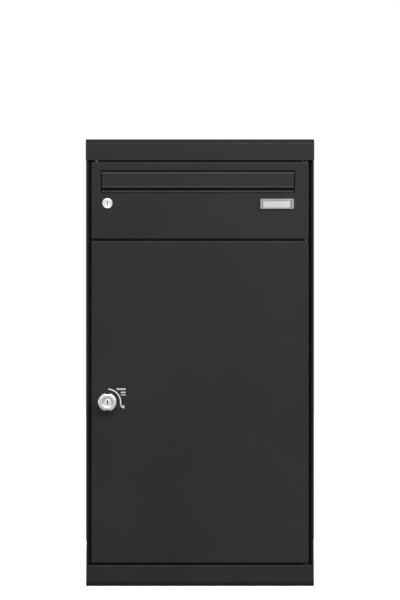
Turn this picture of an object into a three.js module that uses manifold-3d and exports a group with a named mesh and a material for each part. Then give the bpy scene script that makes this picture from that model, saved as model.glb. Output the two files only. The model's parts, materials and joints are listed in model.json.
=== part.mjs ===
// Parcel drop box: a steel cabinet with a letter door above a parcel door, both hinged on the right.
// Millimetres. X runs to the right, Y to the back, Z up from the floor that the plinth stands on.
// Inside the model, y is measured back from the front plane of the case and its doors.
import * as THREE from "three";
import { mergeVertices } from "three/addons/utils/BufferGeometryUtils.js";
import Module from "manifold-3d";

const wasm = await Module();
wasm.setup();

// ---------------------------------------------------------------- driving dimensions

// Whole cabinet
const caseWidth = 410;
const caseHeight = 804;
const caseDepth = 385;
const sheet = 1.5; // steel of the case and the doors
const fit = 0.3; // gap between pieces that touch

// Doors and the gaps round them
const letterDoorHeight = 138.4;
const doorGap = 3.6; // above, between and below the doors
const jambWidth = 9; // from the side of the case to the edge of a door
const doorThickness = 18;
const doorLip = 14; // rear return of a door pan
const sealSpace = 4.5; // from the back of a door to the stops
const hingeInset = 5.5; // hinge axis, from the edge of the door
const hingeDepth = 6.5; // hinge axis, from the front plane

// Roof
const fasciaDrop = 37.6; // from the top of the roof to the lower edge of its front
const roofSheet = 1.2;
const roofOverhang = 0.6; // beyond each side of the case
const roofProud = 1.5; // beyond the front plane
const bevelRise = 6;
const bevelRun = 30;
const skirtLift = 3.2; // side skirts end this much above the front fascia
const postInset = [55, 90]; // roof posts, from the side and from the front of the case
const postRadius = 5;

// Plinth
const plinthHeight = 38;
const plinthFlange = 22;
const plinthLap = 10; // of the front rail under the floor panel
const toeHeight = 8; // the slanted foot of the front rail
const toeRun = 4;

// Side panels and stiles
const stripWidth = 3.6; // folded front edge of a side panel
const hemDepth = 9;
const stopWidth = 12; // how far a stop leg reaches in behind a door
const foldGap = 0.6; // beside the edge of a closed door
const foldSlant = 3; // width of the slanted face of a stile's fold
const foldFront = 9.2; // depth of the fold's crest
const foldBack = 14.2; // depth where the slant ends
const foldCrest = 0.6;
const outerLegFront = 12.5;

// Hinges
const pinRadius = 2;
const pinReach = 13; // of a pin into its door
const bushRadius = 3.2;
const bushLength = 6;
const bushFlangeRadius = 3.7;
const bushFlange = 0.7;
const hingePlateWidth = 11;
const hingePlateFront = 2.5;
const hingePlateLength = 42;

// Inner rails, shelf and floor
const railLeg = 14;
const headerDepth = 38;
const midRailHeight = 27;
const shelfFlange = 13;
const floorStopHeight = 14; // stop rail at the front of the floor
const anchorRadius = 5;
const anchorInset = [65, 80]; // from the side and from the front or the back
const retainerHeight = 45;
const retainerFoot = 16;
const retainerGap = 10; // behind the stops
const retainerInset = 25; // from the side of the case

// Rear panel
const rearFlange = 12;
const wallHoleRadius = 4.5;
const wallHoleInset = 60; // from the side of the case
const wallHoleLow = 120;
const wallHoleHigh = 560;
const plugCapRadius = 7;
const plugCap = 1.2;

// Letter flap, slot and sill
const flapWidth = 345.2;
const flapHeight = 25.6; // from the pivot to the lower edge
const flapThickness = 2;
const flapOffset = -3.6; // centre of the flap, from the middle of the door
const flapSideGap = 1.8;
const barrelRadius = 4.5;
const rodRadius = 1.6;
const slotTopInset = 14.5; // top of the cut-out, from the top of the door
const slotHeight = 41.1;
const pivotDrop = 6.7; // pivot, below the top of the cut-out
const sillProud = 2;
const sillNose = 2.2;
const sillRise = 4.5; // from the nose up to the back
const sillDepth = 14;
const frameLap = 9.5; // of the slot frame behind the door skin, above the slot
const sillLap = 6; // and below it, where the lock's nut is near
const springTurns = 8;
const springWire = 0.8;
const springInset = 14; // from the left end of the flap
const springSpace = 12;
const guideDepth = 36;
const guideRoof = 10; // flat top of the hood
const guideShoulder = 25; // where its slanting back meets the upright one
const guideAboveCam = 1; // lower edge of the hood, above the turned cam of the lock
const guideSheet = 1.2;
const guideInset = 2.5; // from each end of the cut-out

// Name plate
const plateWidth = 60;
const plateHeight = 18;
const plateDepth = 3;
const plateFromCentre = 138.6;
const plateBelowTop = 75.2;
const windowWidth = 50.4;
const windowHeight = 12.8;
const cardLap = 1.5; // card beyond the window
const cardThickness = 0.5;
const coverThickness = 0.7;
const grooveInset = 3.6;
const grooveWidth = 0.8;
const grooveDepth = 0.5;

// Locks
const letterLockInset = 38.5; // from the left side of the case
const letterLockBelowTop = 74.3;
const letterFaceRadius = 9.45;
const letterFaceProud = 2;
const letterBarrelRadius = 8;
const letterPlugRadius = 6;
const letterKeyway = [1.8, 7.6];
const parcelLockInset = 38.6;
const parcelLockHeight = 330.7;
const knobRadius = 16.75;
const knobReach = 16; // how far the knob stands in front of the case
const knobLength = 12.8;
const knobNotch = [10.6, 1.5]; // width and depth
const knobDishRadius = 10.4;
const knobDishDepth = 2.6;
const keyRadius = 6.2;
const keyRecess = 2.9; // face of the key plug, behind the face of the knob
const keyLength = 8;
const parcelKeyway = [2.5, 8.3];
const collarRadius = 14;
const parcelBarrelRadius = 9;
const spindleRadius = 6.4;
const camLength = 27;
const camWidth = 16;
const camThickness = 3;
const camGap = 0.5; // between a cam and its strike
const tailHalf = 3; // square end that carries a cam
const keywayDepth = 5;
const nutThickness = 4.4;
const nutWall = 3.4;
const strikeHeight = 36;
const strikeThickness = 1.5;
const linerSheet = 1;
const linerInset = 3;
const sealWidth = 5;
const sealInset = 6.5;
const screwHeadRadius = 5;
const screwHead = 2;
const screwRadius = 2;
const screwLength = 11;

// ---------------------------------------------------------------- places worked out from them

const frontY = (knobReach - caseDepth) / 2; // the knob's face and the rear are equally far out
const halfCase = caseWidth / 2;
const innerHalf = halfCase - sheet - fit; // what fits between the side panels
const halfDoor = halfCase - jambWidth;
const stopInner = halfDoor - stopWidth;
const betweenStops = stopInner - fit;
const stopFace = doorThickness + sealSpace;
const stopBack = stopFace + sheet;
const rearInside = caseDepth - sheet - fit;
const hingeX = halfDoor - hingeInset;

const fasciaBottom = caseHeight - fasciaDrop;
const letterTop = fasciaBottom - doorGap;
const letterBottom = letterTop - letterDoorHeight;
const parcelTop = letterBottom - doorGap;
const parcelBottom = plinthHeight + doorGap;
const skirtBottom = fasciaBottom + skirtLift;
const sideTop = skirtBottom - 0.5;
const trayBottom = sideTop + fit;
const headerTop = sideTop - sheet - fit;
const headerBottom = headerTop - sheet;
const topPlate = [headerBottom - fit - sheet, headerBottom - fit];
const middleGap = (letterBottom + parcelTop) / 2;
const middlePlate = [middleGap - sheet / 2, middleGap + sheet / 2];
const shelfTop = middlePlate[0] - fit;
const bottomPlate = [plinthHeight + fit, plinthHeight + fit + 2];
const floorBottom = plinthHeight + fit;
const floorTop = floorBottom + sheet;
const stileBottom = floorTop + fit;
const stileTop = topPlate[0] - fit;

const slotTop = letterTop - slotTopInset;
const slotBottom = slotTop - slotHeight;
const slotHalf = flapWidth / 2 + flapSideGap;
const pivotZ = slotTop - pivotDrop;
const pivotDepth = barrelRadius;
const boreRadius = rodRadius + fit;
const springHollow = barrelRadius - 0.8;

const letterLockX = letterLockInset - halfCase;
const letterLockZ = letterTop - letterLockBelowTop;
const parcelLockX = parcelLockInset - halfCase;
const strikeFace = stopBack + fit;
const camFace = strikeFace + strikeThickness + camGap;
const camBack = camFace + camThickness;
const linerFace = doorThickness + fit;
const sealBack = stopFace - fit;
const keyHole = spindleRadius + 0.4;

// ---------------------------------------------------------------- solids

// A closed geometry as a solid that can be joined and cut. Its points snap to a fine grid, so that faces
// which are meant to lie in one plane do.
function solid(geometry) {
  const plain = geometry.clone();
  plain.deleteAttribute("normal");
  plain.deleteAttribute("uv");
  const places = plain.attributes.position.array;
  places.forEach((value, i) => {
    places[i] = Math.round(value * 1000) / 1000;
  });
  const merged = mergeVertices(plain, 1e-4);
  const corners = merged.index.array;
  const triangles = [];
  for (let i = 0; i < corners.length; i += 3) {
    const [a, b, c] = [corners[i], corners[i + 1], corners[i + 2]];
    if (a !== b && b !== c && c !== a) triangles.push(a, b, c);
  }
  return new wasm.Manifold(
    new wasm.Mesh({
      numProp: 3,
      vertProperties: merged.attributes.position.array,
      triVerts: new Uint32Array(triangles),
    }),
  );
}

function join(first, ...others) {
  return others.reduce((whole, piece) => whole.add(piece), first);
}

function cut(first, ...others) {
  return others.reduce((whole, piece) => whole.subtract(piece), first);
}

// A block between two places along each axis.
function block([x0, x1], [y0, y1], [z0, z1]) {
  const geometry = new THREE.BoxGeometry(x1 - x0, y1 - y0, z1 - z0);
  geometry.translate((x0 + x1) / 2, (y0 + y1) / 2, (z0 + z1) / 2);
  return solid(geometry);
}

// The span from a to b on the right, or its mirror image on the left.
function onSide(side, a, b) {
  return side > 0 ? [a, b] : [-b, -a];
}

function around(centre, half) {
  return [centre - half, centre + half];
}

// An outline drawn in two of the axes and run along the third.
function extrusion(outline, [from, to], xAxis, yAxis, zAxis) {
  const shape = new THREE.Shape(outline.map(([u, v]) => new THREE.Vector2(u, v)));
  const geometry = new THREE.ExtrudeGeometry(shape, { depth: to - from, bevelEnabled: false });
  geometry.translate(0, 0, from);
  geometry.applyMatrix4(new THREE.Matrix4().makeBasis(xAxis, yAxis, zAxis));
  return solid(geometry);
}

const X = new THREE.Vector3(1, 0, 0);
const Y = new THREE.Vector3(0, 1, 0);
const Z = new THREE.Vector3(0, 0, 1);

function alongX(outlineYZ, span) {
  return extrusion(outlineYZ, span, Y, Z, X);
}

function alongZ(outlineXY, span) {
  return extrusion(outlineXY, span, X, Y, Z);
}

// A round bar along one axis, through a point given in the other two axes.
function barAlongX([y, z], radius, [from, to], sides = 16) {
  const geometry = new THREE.CylinderGeometry(radius, radius, to - from, sides);
  geometry.rotateZ(Math.PI / 2);
  geometry.translate((from + to) / 2, y, z);
  return solid(geometry);
}

function barAlongY([x, z], radius, [from, to], sides = 24) {
  const geometry = new THREE.CylinderGeometry(radius, radius, to - from, sides);
  geometry.translate(x, (from + to) / 2, z);
  return solid(geometry);
}

function barAlongZ([x, y], radius, [from, to], sides = 16) {
  const geometry = new THREE.CylinderGeometry(radius, radius, to - from, sides);
  geometry.rotateX(Math.PI / 2);
  geometry.translate(x, y, (from + to) / 2);
  return solid(geometry);
}

// A turned piece about the Y axis; each point is a radius and a depth, in order of growing depth outside.
function turned(profile, sides = 32) {
  const points = profile.map(([radius, depth]) => new THREE.Vector2(radius, depth));
  return solid(new THREE.LatheGeometry(points, sides));
}

// ---------------------------------------------------------------- finishes

const coat = { color: "#37383a", roughness: 0.55, metalness: 0.1 };
const plinthCoat = { color: "#323335", roughness: 0.6, metalness: 0.1 };
const zinc = { color: "#a9acae", roughness: 0.4, metalness: 0.9 };
const bright = { color: "#cfccc6", roughness: 0.25, metalness: 1 };
const rubber = { color: "#17181a", roughness: 0.85, metalness: 0 };
const plateGrey = { color: "#8b8c8e", roughness: 0.45, metalness: 0.2 };
const card = { color: "#e9e8e4", roughness: 0.8, metalness: 0 };
const clear = { color: "#f4f7f8", roughness: 0.1, metalness: 0, transparent: true, opacity: 0.3 };
const blackPlastic = { color: "#202123", roughness: 0.5, metalness: 0 };

// Gives a solid its name and finish and places it in its group.
function add(group, name, shape, finish, position = [0, 0, 0]) {
  const { vertProperties, triVerts } = shape.getMesh();
  const geometry = new THREE.BufferGeometry();
  geometry.setAttribute("position", new THREE.BufferAttribute(vertProperties, 3));
  geometry.setIndex(new THREE.BufferAttribute(triVerts, 1));
  geometry.computeVertexNormals();
  const mesh = new THREE.Mesh(geometry, new THREE.MeshStandardMaterial(finish));
  mesh.name = name;
  mesh.position.set(...position);
  group.add(mesh);
}

function place(group, parent, position = [0, 0, 0]) {
  group.position.set(...position);
  parent.add(group);
  return group;
}

// ---------------------------------------------------------------- case

function roofCover() {
  const half = halfCase + roofOverhang;
  const front = -roofProud;
  const bend = caseHeight - bevelRise;
  const slope = bevelRise / bevelRun;
  const innerBend = bend + slope * roofSheet - roofSheet * Math.hypot(1, slope);
  const innerTop = caseHeight - roofSheet;
  const outside = alongX(
    [
      [front, fasciaBottom],
      [front + roofSheet, fasciaBottom],
      [front + roofSheet, skirtBottom],
      [caseDepth, skirtBottom],
      [caseDepth, caseHeight],
      [front + bevelRun, caseHeight],
      [front, bend],
    ],
    [-half, half],
  );
  const inside = alongX(
    [
      [front + roofSheet, fasciaBottom],
      [caseDepth - roofSheet, fasciaBottom],
      [caseDepth - roofSheet, innerTop],
      [front + roofSheet + (innerTop - innerBend) / slope, innerTop],
      [front + roofSheet, innerBend],
    ],
    [roofSheet - half, half - roofSheet],
  );
  let cover = cut(outside, inside);
  for (const spot of postSpots()) {
    const post = barAlongZ(spot, postRadius, [trayBottom + sheet + fit, innerTop + roofSheet / 2]);
    cover = cut(join(cover, post), roofScrewBore(spot));
  }
  return cover;
}

function postSpots() {
  const x = halfCase - postInset[0];
  return [-x, x].map((across) => [across, postInset[1]]);
}

function roofScrewBore(spot) {
  return barAlongZ(spot, screwRadius + fit, [trayBottom - 1, trayBottom + sheet + screwLength + 2]);
}

// A screw along Z with its head below, its head's top at z = 0.
function roofScrew() {
  const head = barAlongZ([0, 0], screwHeadRadius, [-screwHead, 0]);
  return join(head, barAlongZ([0, 0], screwRadius, [-screwHead / 2, screwLength]));
}

function topTray() {
  const half = halfCase + roofOverhang - roofSheet - 0.5;
  const front = roofSheet - roofProud + 1;
  const back = caseDepth - roofSheet - 0.5;
  const z = [trayBottom, caseHeight - bevelRise - 8];
  const tray = cut(
    block([-half, half], [front, back], z),
    block([sheet - half, half - sheet], [front + sheet, back - sheet], [trayBottom + sheet, z[1] + 1]),
  );
  return cut(tray, ...postSpots().map(roofScrewBore));
}

function sidePanel(side) {
  const z = [plinthHeight + fit, sideTop];
  const stripInner = halfCase - stripWidth;
  const flangeInner = halfCase - sheet - rearFlange;
  return join(
    block(onSide(side, halfCase - sheet, halfCase), [0, caseDepth], z),
    block(onSide(side, stripInner, halfCase), [0, sheet], z),
    block(onSide(side, stripInner, stripInner + sheet), [0, hemDepth], z),
    block(onSide(side, flangeInner, halfCase), [stopFace, rearInside], [sideTop - sheet, sideTop]),
  );
}

// The stile's section: stop leg, slanted fold beside the door, and outer leg on the side panel.
function stile(side) {
  const slantIn = halfDoor + foldGap;
  const slantOut = slantIn + foldSlant;
  const crest = slantOut + foldCrest;
  const outline = [
    [stopInner, stopFace],
    [slantIn, stopFace],
    [slantIn, foldBack],
    [slantOut, foldFront],
    [crest, foldFront],
    [crest, stopFace],
    [innerHalf - sheet, stopFace],
    [innerHalf - sheet, outerLegFront],
    [innerHalf, outerLegFront],
    [innerHalf, stopBack],
    [stopInner, stopBack],
  ];
  const bar = alongZ(
    outline.map(([x, y]) => [side * x, y]),
    [stileBottom, stileTop],
  );
  if (side < 0) return bar;
  const slot = [stopInner - 1, halfDoor + fit + 0.1];
  return cut(bar, block(slot, [foldBack, stopBack + 1], around(middleGap, sheet / 2 + 0.45)));
}

function floorPanel() {
  const panel = block([-innerHalf, innerHalf], [stopFace, rearInside], [floorBottom, floorTop]);
  const range = [floorBottom - 1, floorTop + 1];
  return cut(panel, ...anchorSpots().map((spot) => barAlongZ(spot, anchorRadius, range)));
}

// What the lower edge of the parcel door's seal closes on.
function floorStop() {
  const z = [floorTop + fit, floorTop + fit + floorStopHeight];
  return block([-betweenStops, betweenStops], [stopFace, stopBack], z);
}

function anchorSpots() {
  const x = halfCase - anchorInset[0];
  const depths = [anchorInset[1], caseDepth - anchorInset[1]];
  return depths.flatMap((depth) => [-x, x].map((across) => [across, depth]));
}

function dividerShelf() {
  const down = [shelfTop - sheet - shelfFlange, shelfTop];
  const front = stopBack + fit;
  return join(
    block([-innerHalf, innerHalf], [front, rearInside], [shelfTop - sheet, shelfTop]),
    block([-innerHalf, sheet - innerHalf], [front, rearInside], down),
    block([innerHalf - sheet, innerHalf], [front, rearInside], down),
  );
}

function midRail() {
  const z = around(middleGap, midRailHeight / 2);
  return block([-betweenStops, betweenStops], [stopFace, stopBack], z);
}

function headerRail() {
  return join(
    block([-innerHalf, innerHalf], [stopFace, stopFace + headerDepth], [headerBottom, headerTop]),
    block([-betweenStops, betweenStops], [stopFace, stopBack], [headerBottom - railLeg, headerTop]),
  );
}

function mailRetainer() {
  const half = halfCase - retainerInset;
  const front = stopBack + retainerGap;
  const bottom = shelfTop + fit;
  return join(
    block([-half, half], [front, front + sheet], [bottom, bottom + retainerHeight]),
    block([-half, half], [front, front + retainerFoot], [bottom, bottom + sheet]),
  );
}

function wallHoles() {
  const x = halfCase - wallHoleInset;
  return [-x, x].flatMap((across) => [wallHoleLow, wallHoleHigh].map((height) => [across, height]));
}

function rearPanel() {
  const flangeDepth = [caseDepth - sheet - rearFlange, caseDepth];
  const lower = [floorTop + fit, shelfTop - sheet - shelfFlange - fit];
  const upper = [shelfTop + fit, headerBottom];
  const wall = block([-innerHalf, innerHalf], [caseDepth - sheet, caseDepth], [floorBottom, sideTop]);
  let panel = wall;
  for (const side of [-1, 1]) {
    for (const z of [lower, upper]) {
      panel = join(panel, block(onSide(side, innerHalf - sheet, innerHalf), flangeDepth, z));
    }
  }
  const range = [caseDepth - sheet - 1, caseDepth + 1];
  return cut(panel, ...wallHoles().map((spot) => barAlongY(spot, wallHoleRadius, range)));
}

// Blanking plug of a wall hole, about its own axis, y = 0 on the rear face of the case.
function wallPlug() {
  const capBack = -sheet - fit;
  return turned(
    [
      [0, capBack - plugCap],
      [plugCapRadius, capBack - plugCap],
      [plugCapRadius, capBack],
      [wallHoleRadius - fit, capBack],
      [wallHoleRadius - fit, -0.2],
      [0, -0.2],
    ],
    16,
  );
}

// Front or rear rail of the plinth; the front one slants in at its foot.
function plinthFront() {
  const face = [
    [toeRun, 0],
    [toeRun + sheet, 0],
    [sheet, toeHeight],
    [sheet, plinthHeight],
    [0, plinthHeight],
    [0, toeHeight],
  ];
  return join(
    alongX(face, [-halfCase, halfCase]),
    block([-innerHalf, innerHalf], [sheet / 2, stopFace + plinthLap], [plinthHeight - sheet, plinthHeight]),
    block([-innerHalf, innerHalf], [toeRun + sheet / 2, toeRun + plinthFlange], [0, sheet]),
  );
}

function plinthRear() {
  const inward = [caseDepth - plinthFlange, caseDepth];
  return join(
    block([-halfCase, halfCase], [caseDepth - sheet, caseDepth], [0, plinthHeight]),
    block([-innerHalf, innerHalf], inward, [plinthHeight - sheet, plinthHeight]),
    block([-innerHalf, innerHalf], inward, [0, sheet]),
  );
}

function plinthSide(side) {
  const back = caseDepth - sheet - fit;
  const wall = alongX(
    [
      [toeRun + sheet + fit, 0],
      [back, 0],
      [back, plinthHeight],
      [sheet + fit, plinthHeight],
      [sheet + fit, toeHeight],
    ],
    onSide(side, halfCase - sheet, halfCase),
  );
  const flange = onSide(side, halfCase - plinthFlange, halfCase);
  const front = Math.max(stopFace + plinthLap, toeRun + plinthFlange) + fit;
  const rear = caseDepth - plinthFlange - fit;
  return join(
    wall,
    block(flange, [front, rear], [plinthHeight - sheet, plinthHeight]),
    block(flange, [front, rear], [0, sheet]),
  );
}

function hingePlate(z, length) {
  const x = around(hingeX, hingePlateWidth / 2);
  const plate = block(x, [hingePlateFront, hingePlateFront + length], z);
  return cut(plate, barAlongZ([hingeX, hingeDepth], pinRadius + fit, [z[0] - 1, z[1] + 1]));
}

function strike() {
  return block([-innerHalf, -stopInner], [0, strikeThickness], around(0, strikeHeight / 2));
}

function buildCase(group) {
  add(group, "roof_cover", roofCover(), coat);
  add(group, "top_tray", topTray(), coat);
  add(group, "left_side_panel", sidePanel(-1), coat);
  add(group, "right_side_panel", sidePanel(1), coat);
  add(group, "rear_panel", rearPanel(), coat);
  add(group, "floor_panel", floorPanel(), coat);
  add(group, "floor_stop", floorStop(), coat);
  add(group, "divider_shelf", dividerShelf(), coat);
  add(group, "mid_rail", midRail(), coat);
  add(group, "header_rail", headerRail(), coat);
  add(group, "left_stile", stile(-1), coat);
  add(group, "right_stile", stile(1), coat);
  add(group, "mail_retainer", mailRetainer(), coat);
  add(group, "plinth_front", plinthFront(), plinthCoat);
  add(group, "plinth_rear", plinthRear(), plinthCoat);
  add(group, "plinth_left", plinthSide(-1), plinthCoat);
  add(group, "plinth_right", plinthSide(1), plinthCoat);
  add(group, "letter_strike", strike(), zinc, [0, strikeFace, letterLockZ]);
  add(group, "parcel_strike", strike(), zinc, [0, strikeFace, parcelLockHeight]);
  postSpots().forEach(([x, y], i) => {
    add(group, `roof_screw_${i + 1}`, roofScrew(), zinc, [x, y, trayBottom - fit]);
  });
  wallHoles().forEach(([x, z], i) => {
    add(group, `wall_plug_${i + 1}`, wallPlug(), blackPlastic, [x, caseDepth, z]);
  });
}

function buildHinges(group) {
  const shortPlate = stopFace - fit - hingePlateFront;
  add(group, "hinge_plate_top", hingePlate(topPlate, hingePlateLength), zinc);
  add(group, "hinge_plate_middle", hingePlate(middlePlate, hingePlateLength), zinc);
  add(group, "hinge_plate_bottom", hingePlate(bottomPlate, shortPlate), zinc);
  const pin = (from, to) => barAlongZ([0, 0], pinRadius, [from, to]);
  const axis = [hingeX, hingeDepth, 0];
  add(group, "hinge_pin_top", pin(letterTop - pinReach, topPlate[1]), zinc, axis);
  add(group, "hinge_pin_middle", pin(parcelTop - pinReach, letterBottom + pinReach), zinc, axis);
  add(group, "hinge_pin_bottom", pin(bottomPlate[0] + 0.2, parcelBottom + pinReach), zinc, axis);
}

// ---------------------------------------------------------------- doors

// A door pan: skin, four edges and a return at the back.
function doorPan([bottom, top]) {
  const inner = halfDoor - sheet;
  const opening = halfDoor - doorLip;
  return cut(
    block([-halfDoor, halfDoor], [0, doorThickness], [bottom, top]),
    block([-inner, inner], [sheet, doorThickness - sheet], [bottom + sheet, top - sheet]),
    block([-opening, opening], [sheet, doorThickness + 1], [bottom + doorLip, top - doorLip]),
    barAlongZ([hingeX, hingeDepth], bushRadius + fit, [bottom - 1, bottom + sheet + 1]),
    barAlongZ([hingeX, hingeDepth], bushRadius + fit, [top - sheet - 1, top + 1]),
  );
}

// A bush about the hinge axis with z = 0 at the door's edge; up is 1 where the sleeve points up.
function bush(up, flangeOutside) {
  const flangeAt = flangeOutside ? [-fit - bushFlange, -fit] : [sheet + fit, sheet + fit + bushFlange];
  const span = ([from, to]) => (up > 0 ? [from, to] : [-to, -from]);
  const sleeve = barAlongZ([0, 0], bushRadius, span([Math.min(0, flangeAt[0]), bushLength]));
  const flange = barAlongZ([0, 0], bushFlangeRadius, span(flangeAt));
  return cut(join(sleeve, flange), barAlongZ([0, 0], pinRadius + fit, [-bushLength - 2, bushLength + 2]));
}

function doorSeal([bottom, top], front) {
  const outer = halfDoor - sealInset;
  const inner = outer - sealWidth;
  const z = [bottom + sealInset, top - sealInset];
  return cut(
    block([-outer, outer], [front, sealBack], z),
    block([-inner, inner], [front - 1, sealBack + 1], [z[0] + sealWidth, z[1] - sealWidth]),
  );
}

function letterDoorPanel() {
  const slot = block(around(flapOffset, slotHalf), [-1, sheet + 1], [slotBottom, slotTop]);
  const lockHole = barAlongY([letterLockX, letterLockZ], letterBarrelRadius + fit, [-1, sheet + 1]);
  return cut(doorPan([letterBottom, letterTop]), slot, lockHole);
}

// Frame behind the slot: top bar, two cheeks that hold the rod, and the sill that sticks out in front.
function slotFrame() {
  const front = sheet + fit;
  const back = front + sheet;
  const cheekOuter = slotHalf + sheet;
  const whole = [slotBottom - sillLap, slotTop + frameLap];
  const frame = block(around(flapOffset, cheekOuter), [front, back], whole);
  const opening = block(around(flapOffset, slotHalf), [front - 1, back + 1], [slotBottom, slotTop - 1]);
  const noseBottom = slotBottom + fit;
  const noseTop = noseBottom + sillNose;
  const sill = alongX(
    [
      [-sillProud, noseBottom],
      [front, noseBottom],
      [back, noseBottom + sheet],
      [sillDepth, noseTop + sillRise - sheet],
      [sillDepth, noseTop + sillRise],
      [-sillProud, noseTop],
    ],
    around(flapOffset, flapWidth / 2),
  );
  const foot = block(around(flapOffset, cheekOuter), [front, back], [whole[0], noseBottom + sheet]);
  const cheek = (edge) => block(edge, [front, sillDepth], [slotBottom, slotTop - 1]);
  const left = [flapOffset - cheekOuter, flapOffset - slotHalf];
  const right = [flapOffset + slotHalf, flapOffset + cheekOuter];
  const rodHole = barAlongX([pivotDepth, pivotZ], boreRadius, around(flapOffset, cheekOuter + 1));
  return cut(join(cut(frame, opening), sill, foot, cheek(left), cheek(right)), rodHole);
}

function flapRod() {
  const headRadius = rodRadius + 1;
  const inside = slotHalf + sheet + fit;
  const head = (from, to) => barAlongX([0, 0], headRadius, [from, to], 12);
  return join(
    barAlongX([0, 0], rodRadius, [-inside - 0.5, inside + 0.5], 12),
    head(-inside - 1.5, -inside),
    head(inside, inside + 1.5),
  );
}

// A return spring wound round the rod, with a straight leg at each end.
function flapSpring() {
  const mean = rodRadius + fit + springWire / 2;
  const leg = mean - springWire / 2;
  const steps = springTurns * 10;
  const pitch = (springSpace - 4 * springWire) / springTurns;
  const points = [new THREE.Vector3(springWire, mean, -leg)];
  for (let i = 0; i <= steps; i++) {
    const turn = (i / 10) * 2 * Math.PI;
    const along = 2 * springWire + (i / 10) * pitch;
    points.push(new THREE.Vector3(along, mean * Math.cos(turn), mean * Math.sin(turn)));
  }
  points.push(new THREE.Vector3(springSpace - springWire, mean, leg));
  const wire = new THREE.Shape();
  wire.absarc(0, 0, springWire / 2, 0, 2 * Math.PI);
  const path = new THREE.CatmullRomCurve3(points);
  return solid(new THREE.ExtrudeGeometry(wire, { steps: steps + 8, curveSegments: 3, extrudePath: path }));
}

// The hood behind the slot that turns letters down and stops a hand.
function letterGuide() {
  const front = sillDepth + fit;
  const back = front + guideDepth;
  const top = slotTop - 1;
  const shoulder = top - guideShoulder;
  const bottom = letterLockZ + camWidth / 2 + guideAboveCam;
  const outside = [
    [front, top],
    [front + guideRoof, top],
    [back, shoulder],
    [back, bottom],
    [front + guideRoof, bottom],
    [front, top - slotHeight - sillLap + 2],
  ];
  const inside = [
    [front - 1, top - guideSheet],
    [front + guideRoof - guideSheet / 2, top - guideSheet],
    [back - guideSheet, shoulder - guideSheet],
    [back - guideSheet, bottom - 1],
    [front - 1, bottom - 1],
  ];
  const half = slotHalf - guideInset;
  const hood = alongX(outside, around(flapOffset, half));
  return cut(hood, alongX(inside, around(flapOffset, half - guideSheet)));
}

function letterFlap() {
  const x = around(flapOffset, flapWidth / 2);
  const bottom = pivotZ - flapHeight;
  const plate = alongX(
    [
      [0, pivotZ],
      [0, bottom + 4],
      [-0.9, bottom + 1.5],
      [-0.9, bottom],
      [flapThickness - 0.5, bottom],
      [flapThickness, bottom + 4],
      [flapThickness, pivotZ],
    ],
    x,
  );
  const barrel = barAlongX([pivotDepth, pivotZ], barrelRadius, x, 24);
  const springX = [x[0] + springInset, x[0] + springInset + springSpace];
  return cut(
    join(plate, barrel),
    barAlongX([pivotDepth, pivotZ], boreRadius, [x[0] - 1, x[1] + 1], 12),
    barAlongX([pivotDepth, pivotZ], springHollow, springX, 20),
    block(springX, [pivotDepth, 2 * barrelRadius + 1], around(pivotZ, springHollow)),
  );
}

// Name plate about its own centre, y = 0 on the door skin.
function namePlateFrame() {
  const front = -fit - plateDepth;
  const lip = front + plateDepth - coverThickness - cardThickness - 3 * fit;
  const pocket = [windowWidth / 2 + cardLap + fit, windowHeight / 2 + cardLap + fit];
  const frame = cut(
    block(around(0, plateWidth / 2), [front, -fit], around(0, plateHeight / 2)),
    block(around(0, windowWidth / 2), [front - 1, 1], around(0, windowHeight / 2)),
    block(around(0, pocket[0]), [lip, 1], around(0, pocket[1])),
  );
  const groove = (x) => {
    return block(around(x, grooveWidth / 2), [front - 1, front + grooveDepth], around(0, plateHeight / 2 + 1));
  };
  return cut(frame, groove(grooveInset - plateWidth / 2), groove(plateWidth / 2 - grooveInset));
}

function nameInsert(back, thickness) {
  const x = around(0, windowWidth / 2 + cardLap);
  return block(x, [back - thickness, back], around(0, windowHeight / 2 + cardLap));
}

function buildLetterDoor(door) {
  const span = [letterBottom, letterTop];
  add(door, "letter_door_panel", letterDoorPanel(), coat);
  add(door, "slot_frame", slotFrame(), coat);
  add(door, "letter_guide", letterGuide(), coat);
  add(door, "letter_door_seal", doorSeal(span, doorThickness + fit), rubber);
  add(door, "letter_bush_top", bush(-1, false), zinc, [hingeX, hingeDepth, letterTop]);
  add(door, "letter_bush_bottom", bush(1, false), zinc, [hingeX, hingeDepth, letterBottom]);
  const pivot = place(new THREE.Group(), door, [flapOffset, pivotDepth, pivotZ]);
  add(pivot, "flap_rod", flapRod(), zinc);
  add(pivot, "flap_spring", flapSpring(), zinc, [springInset - flapWidth / 2, 0, 0]);
  const plate = place(new THREE.Group(), door, [plateFromCentre, 0, letterTop - plateBelowTop]);
  add(plate, "name_plate_frame", namePlateFrame(), plateGrey);
  add(plate, "name_card", nameInsert(-fit * 2, cardThickness), card);
  add(plate, "name_plate_cover", nameInsert(-fit * 3 - cardThickness, coverThickness), clear);
}

function parcelDoorPanel() {
  const hole = barAlongY([parcelLockX, parcelLockHeight], parcelBarrelRadius + fit, [-1, sheet + 1]);
  return cut(doorPan([parcelBottom, parcelTop]), hole);
}

function parcelDoorLiner() {
  const x = halfDoor - linerInset;
  const sheetSpan = [linerFace, linerFace + linerSheet];
  const panel = block([-x, x], sheetSpan, [parcelBottom + linerInset, parcelTop - linerInset]);
  return cut(panel, barAlongY([parcelLockX, parcelLockHeight], keyHole + 1, [linerFace - 1, linerFace + 2]));
}

function buildParcelDoor(door) {
  const sealFront = linerFace + linerSheet + fit;
  add(door, "parcel_door_panel", parcelDoorPanel(), coat);
  add(door, "parcel_door_liner", parcelDoorLiner(), coat);
  add(door, "parcel_door_seal", doorSeal([parcelBottom, parcelTop], sealFront), rubber);
  add(door, "parcel_bush_top", bush(-1, false), zinc, [hingeX, hingeDepth, parcelTop]);
  add(door, "parcel_bush_bottom", bush(1, true), zinc, [hingeX, hingeDepth, parcelBottom]);
}

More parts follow.
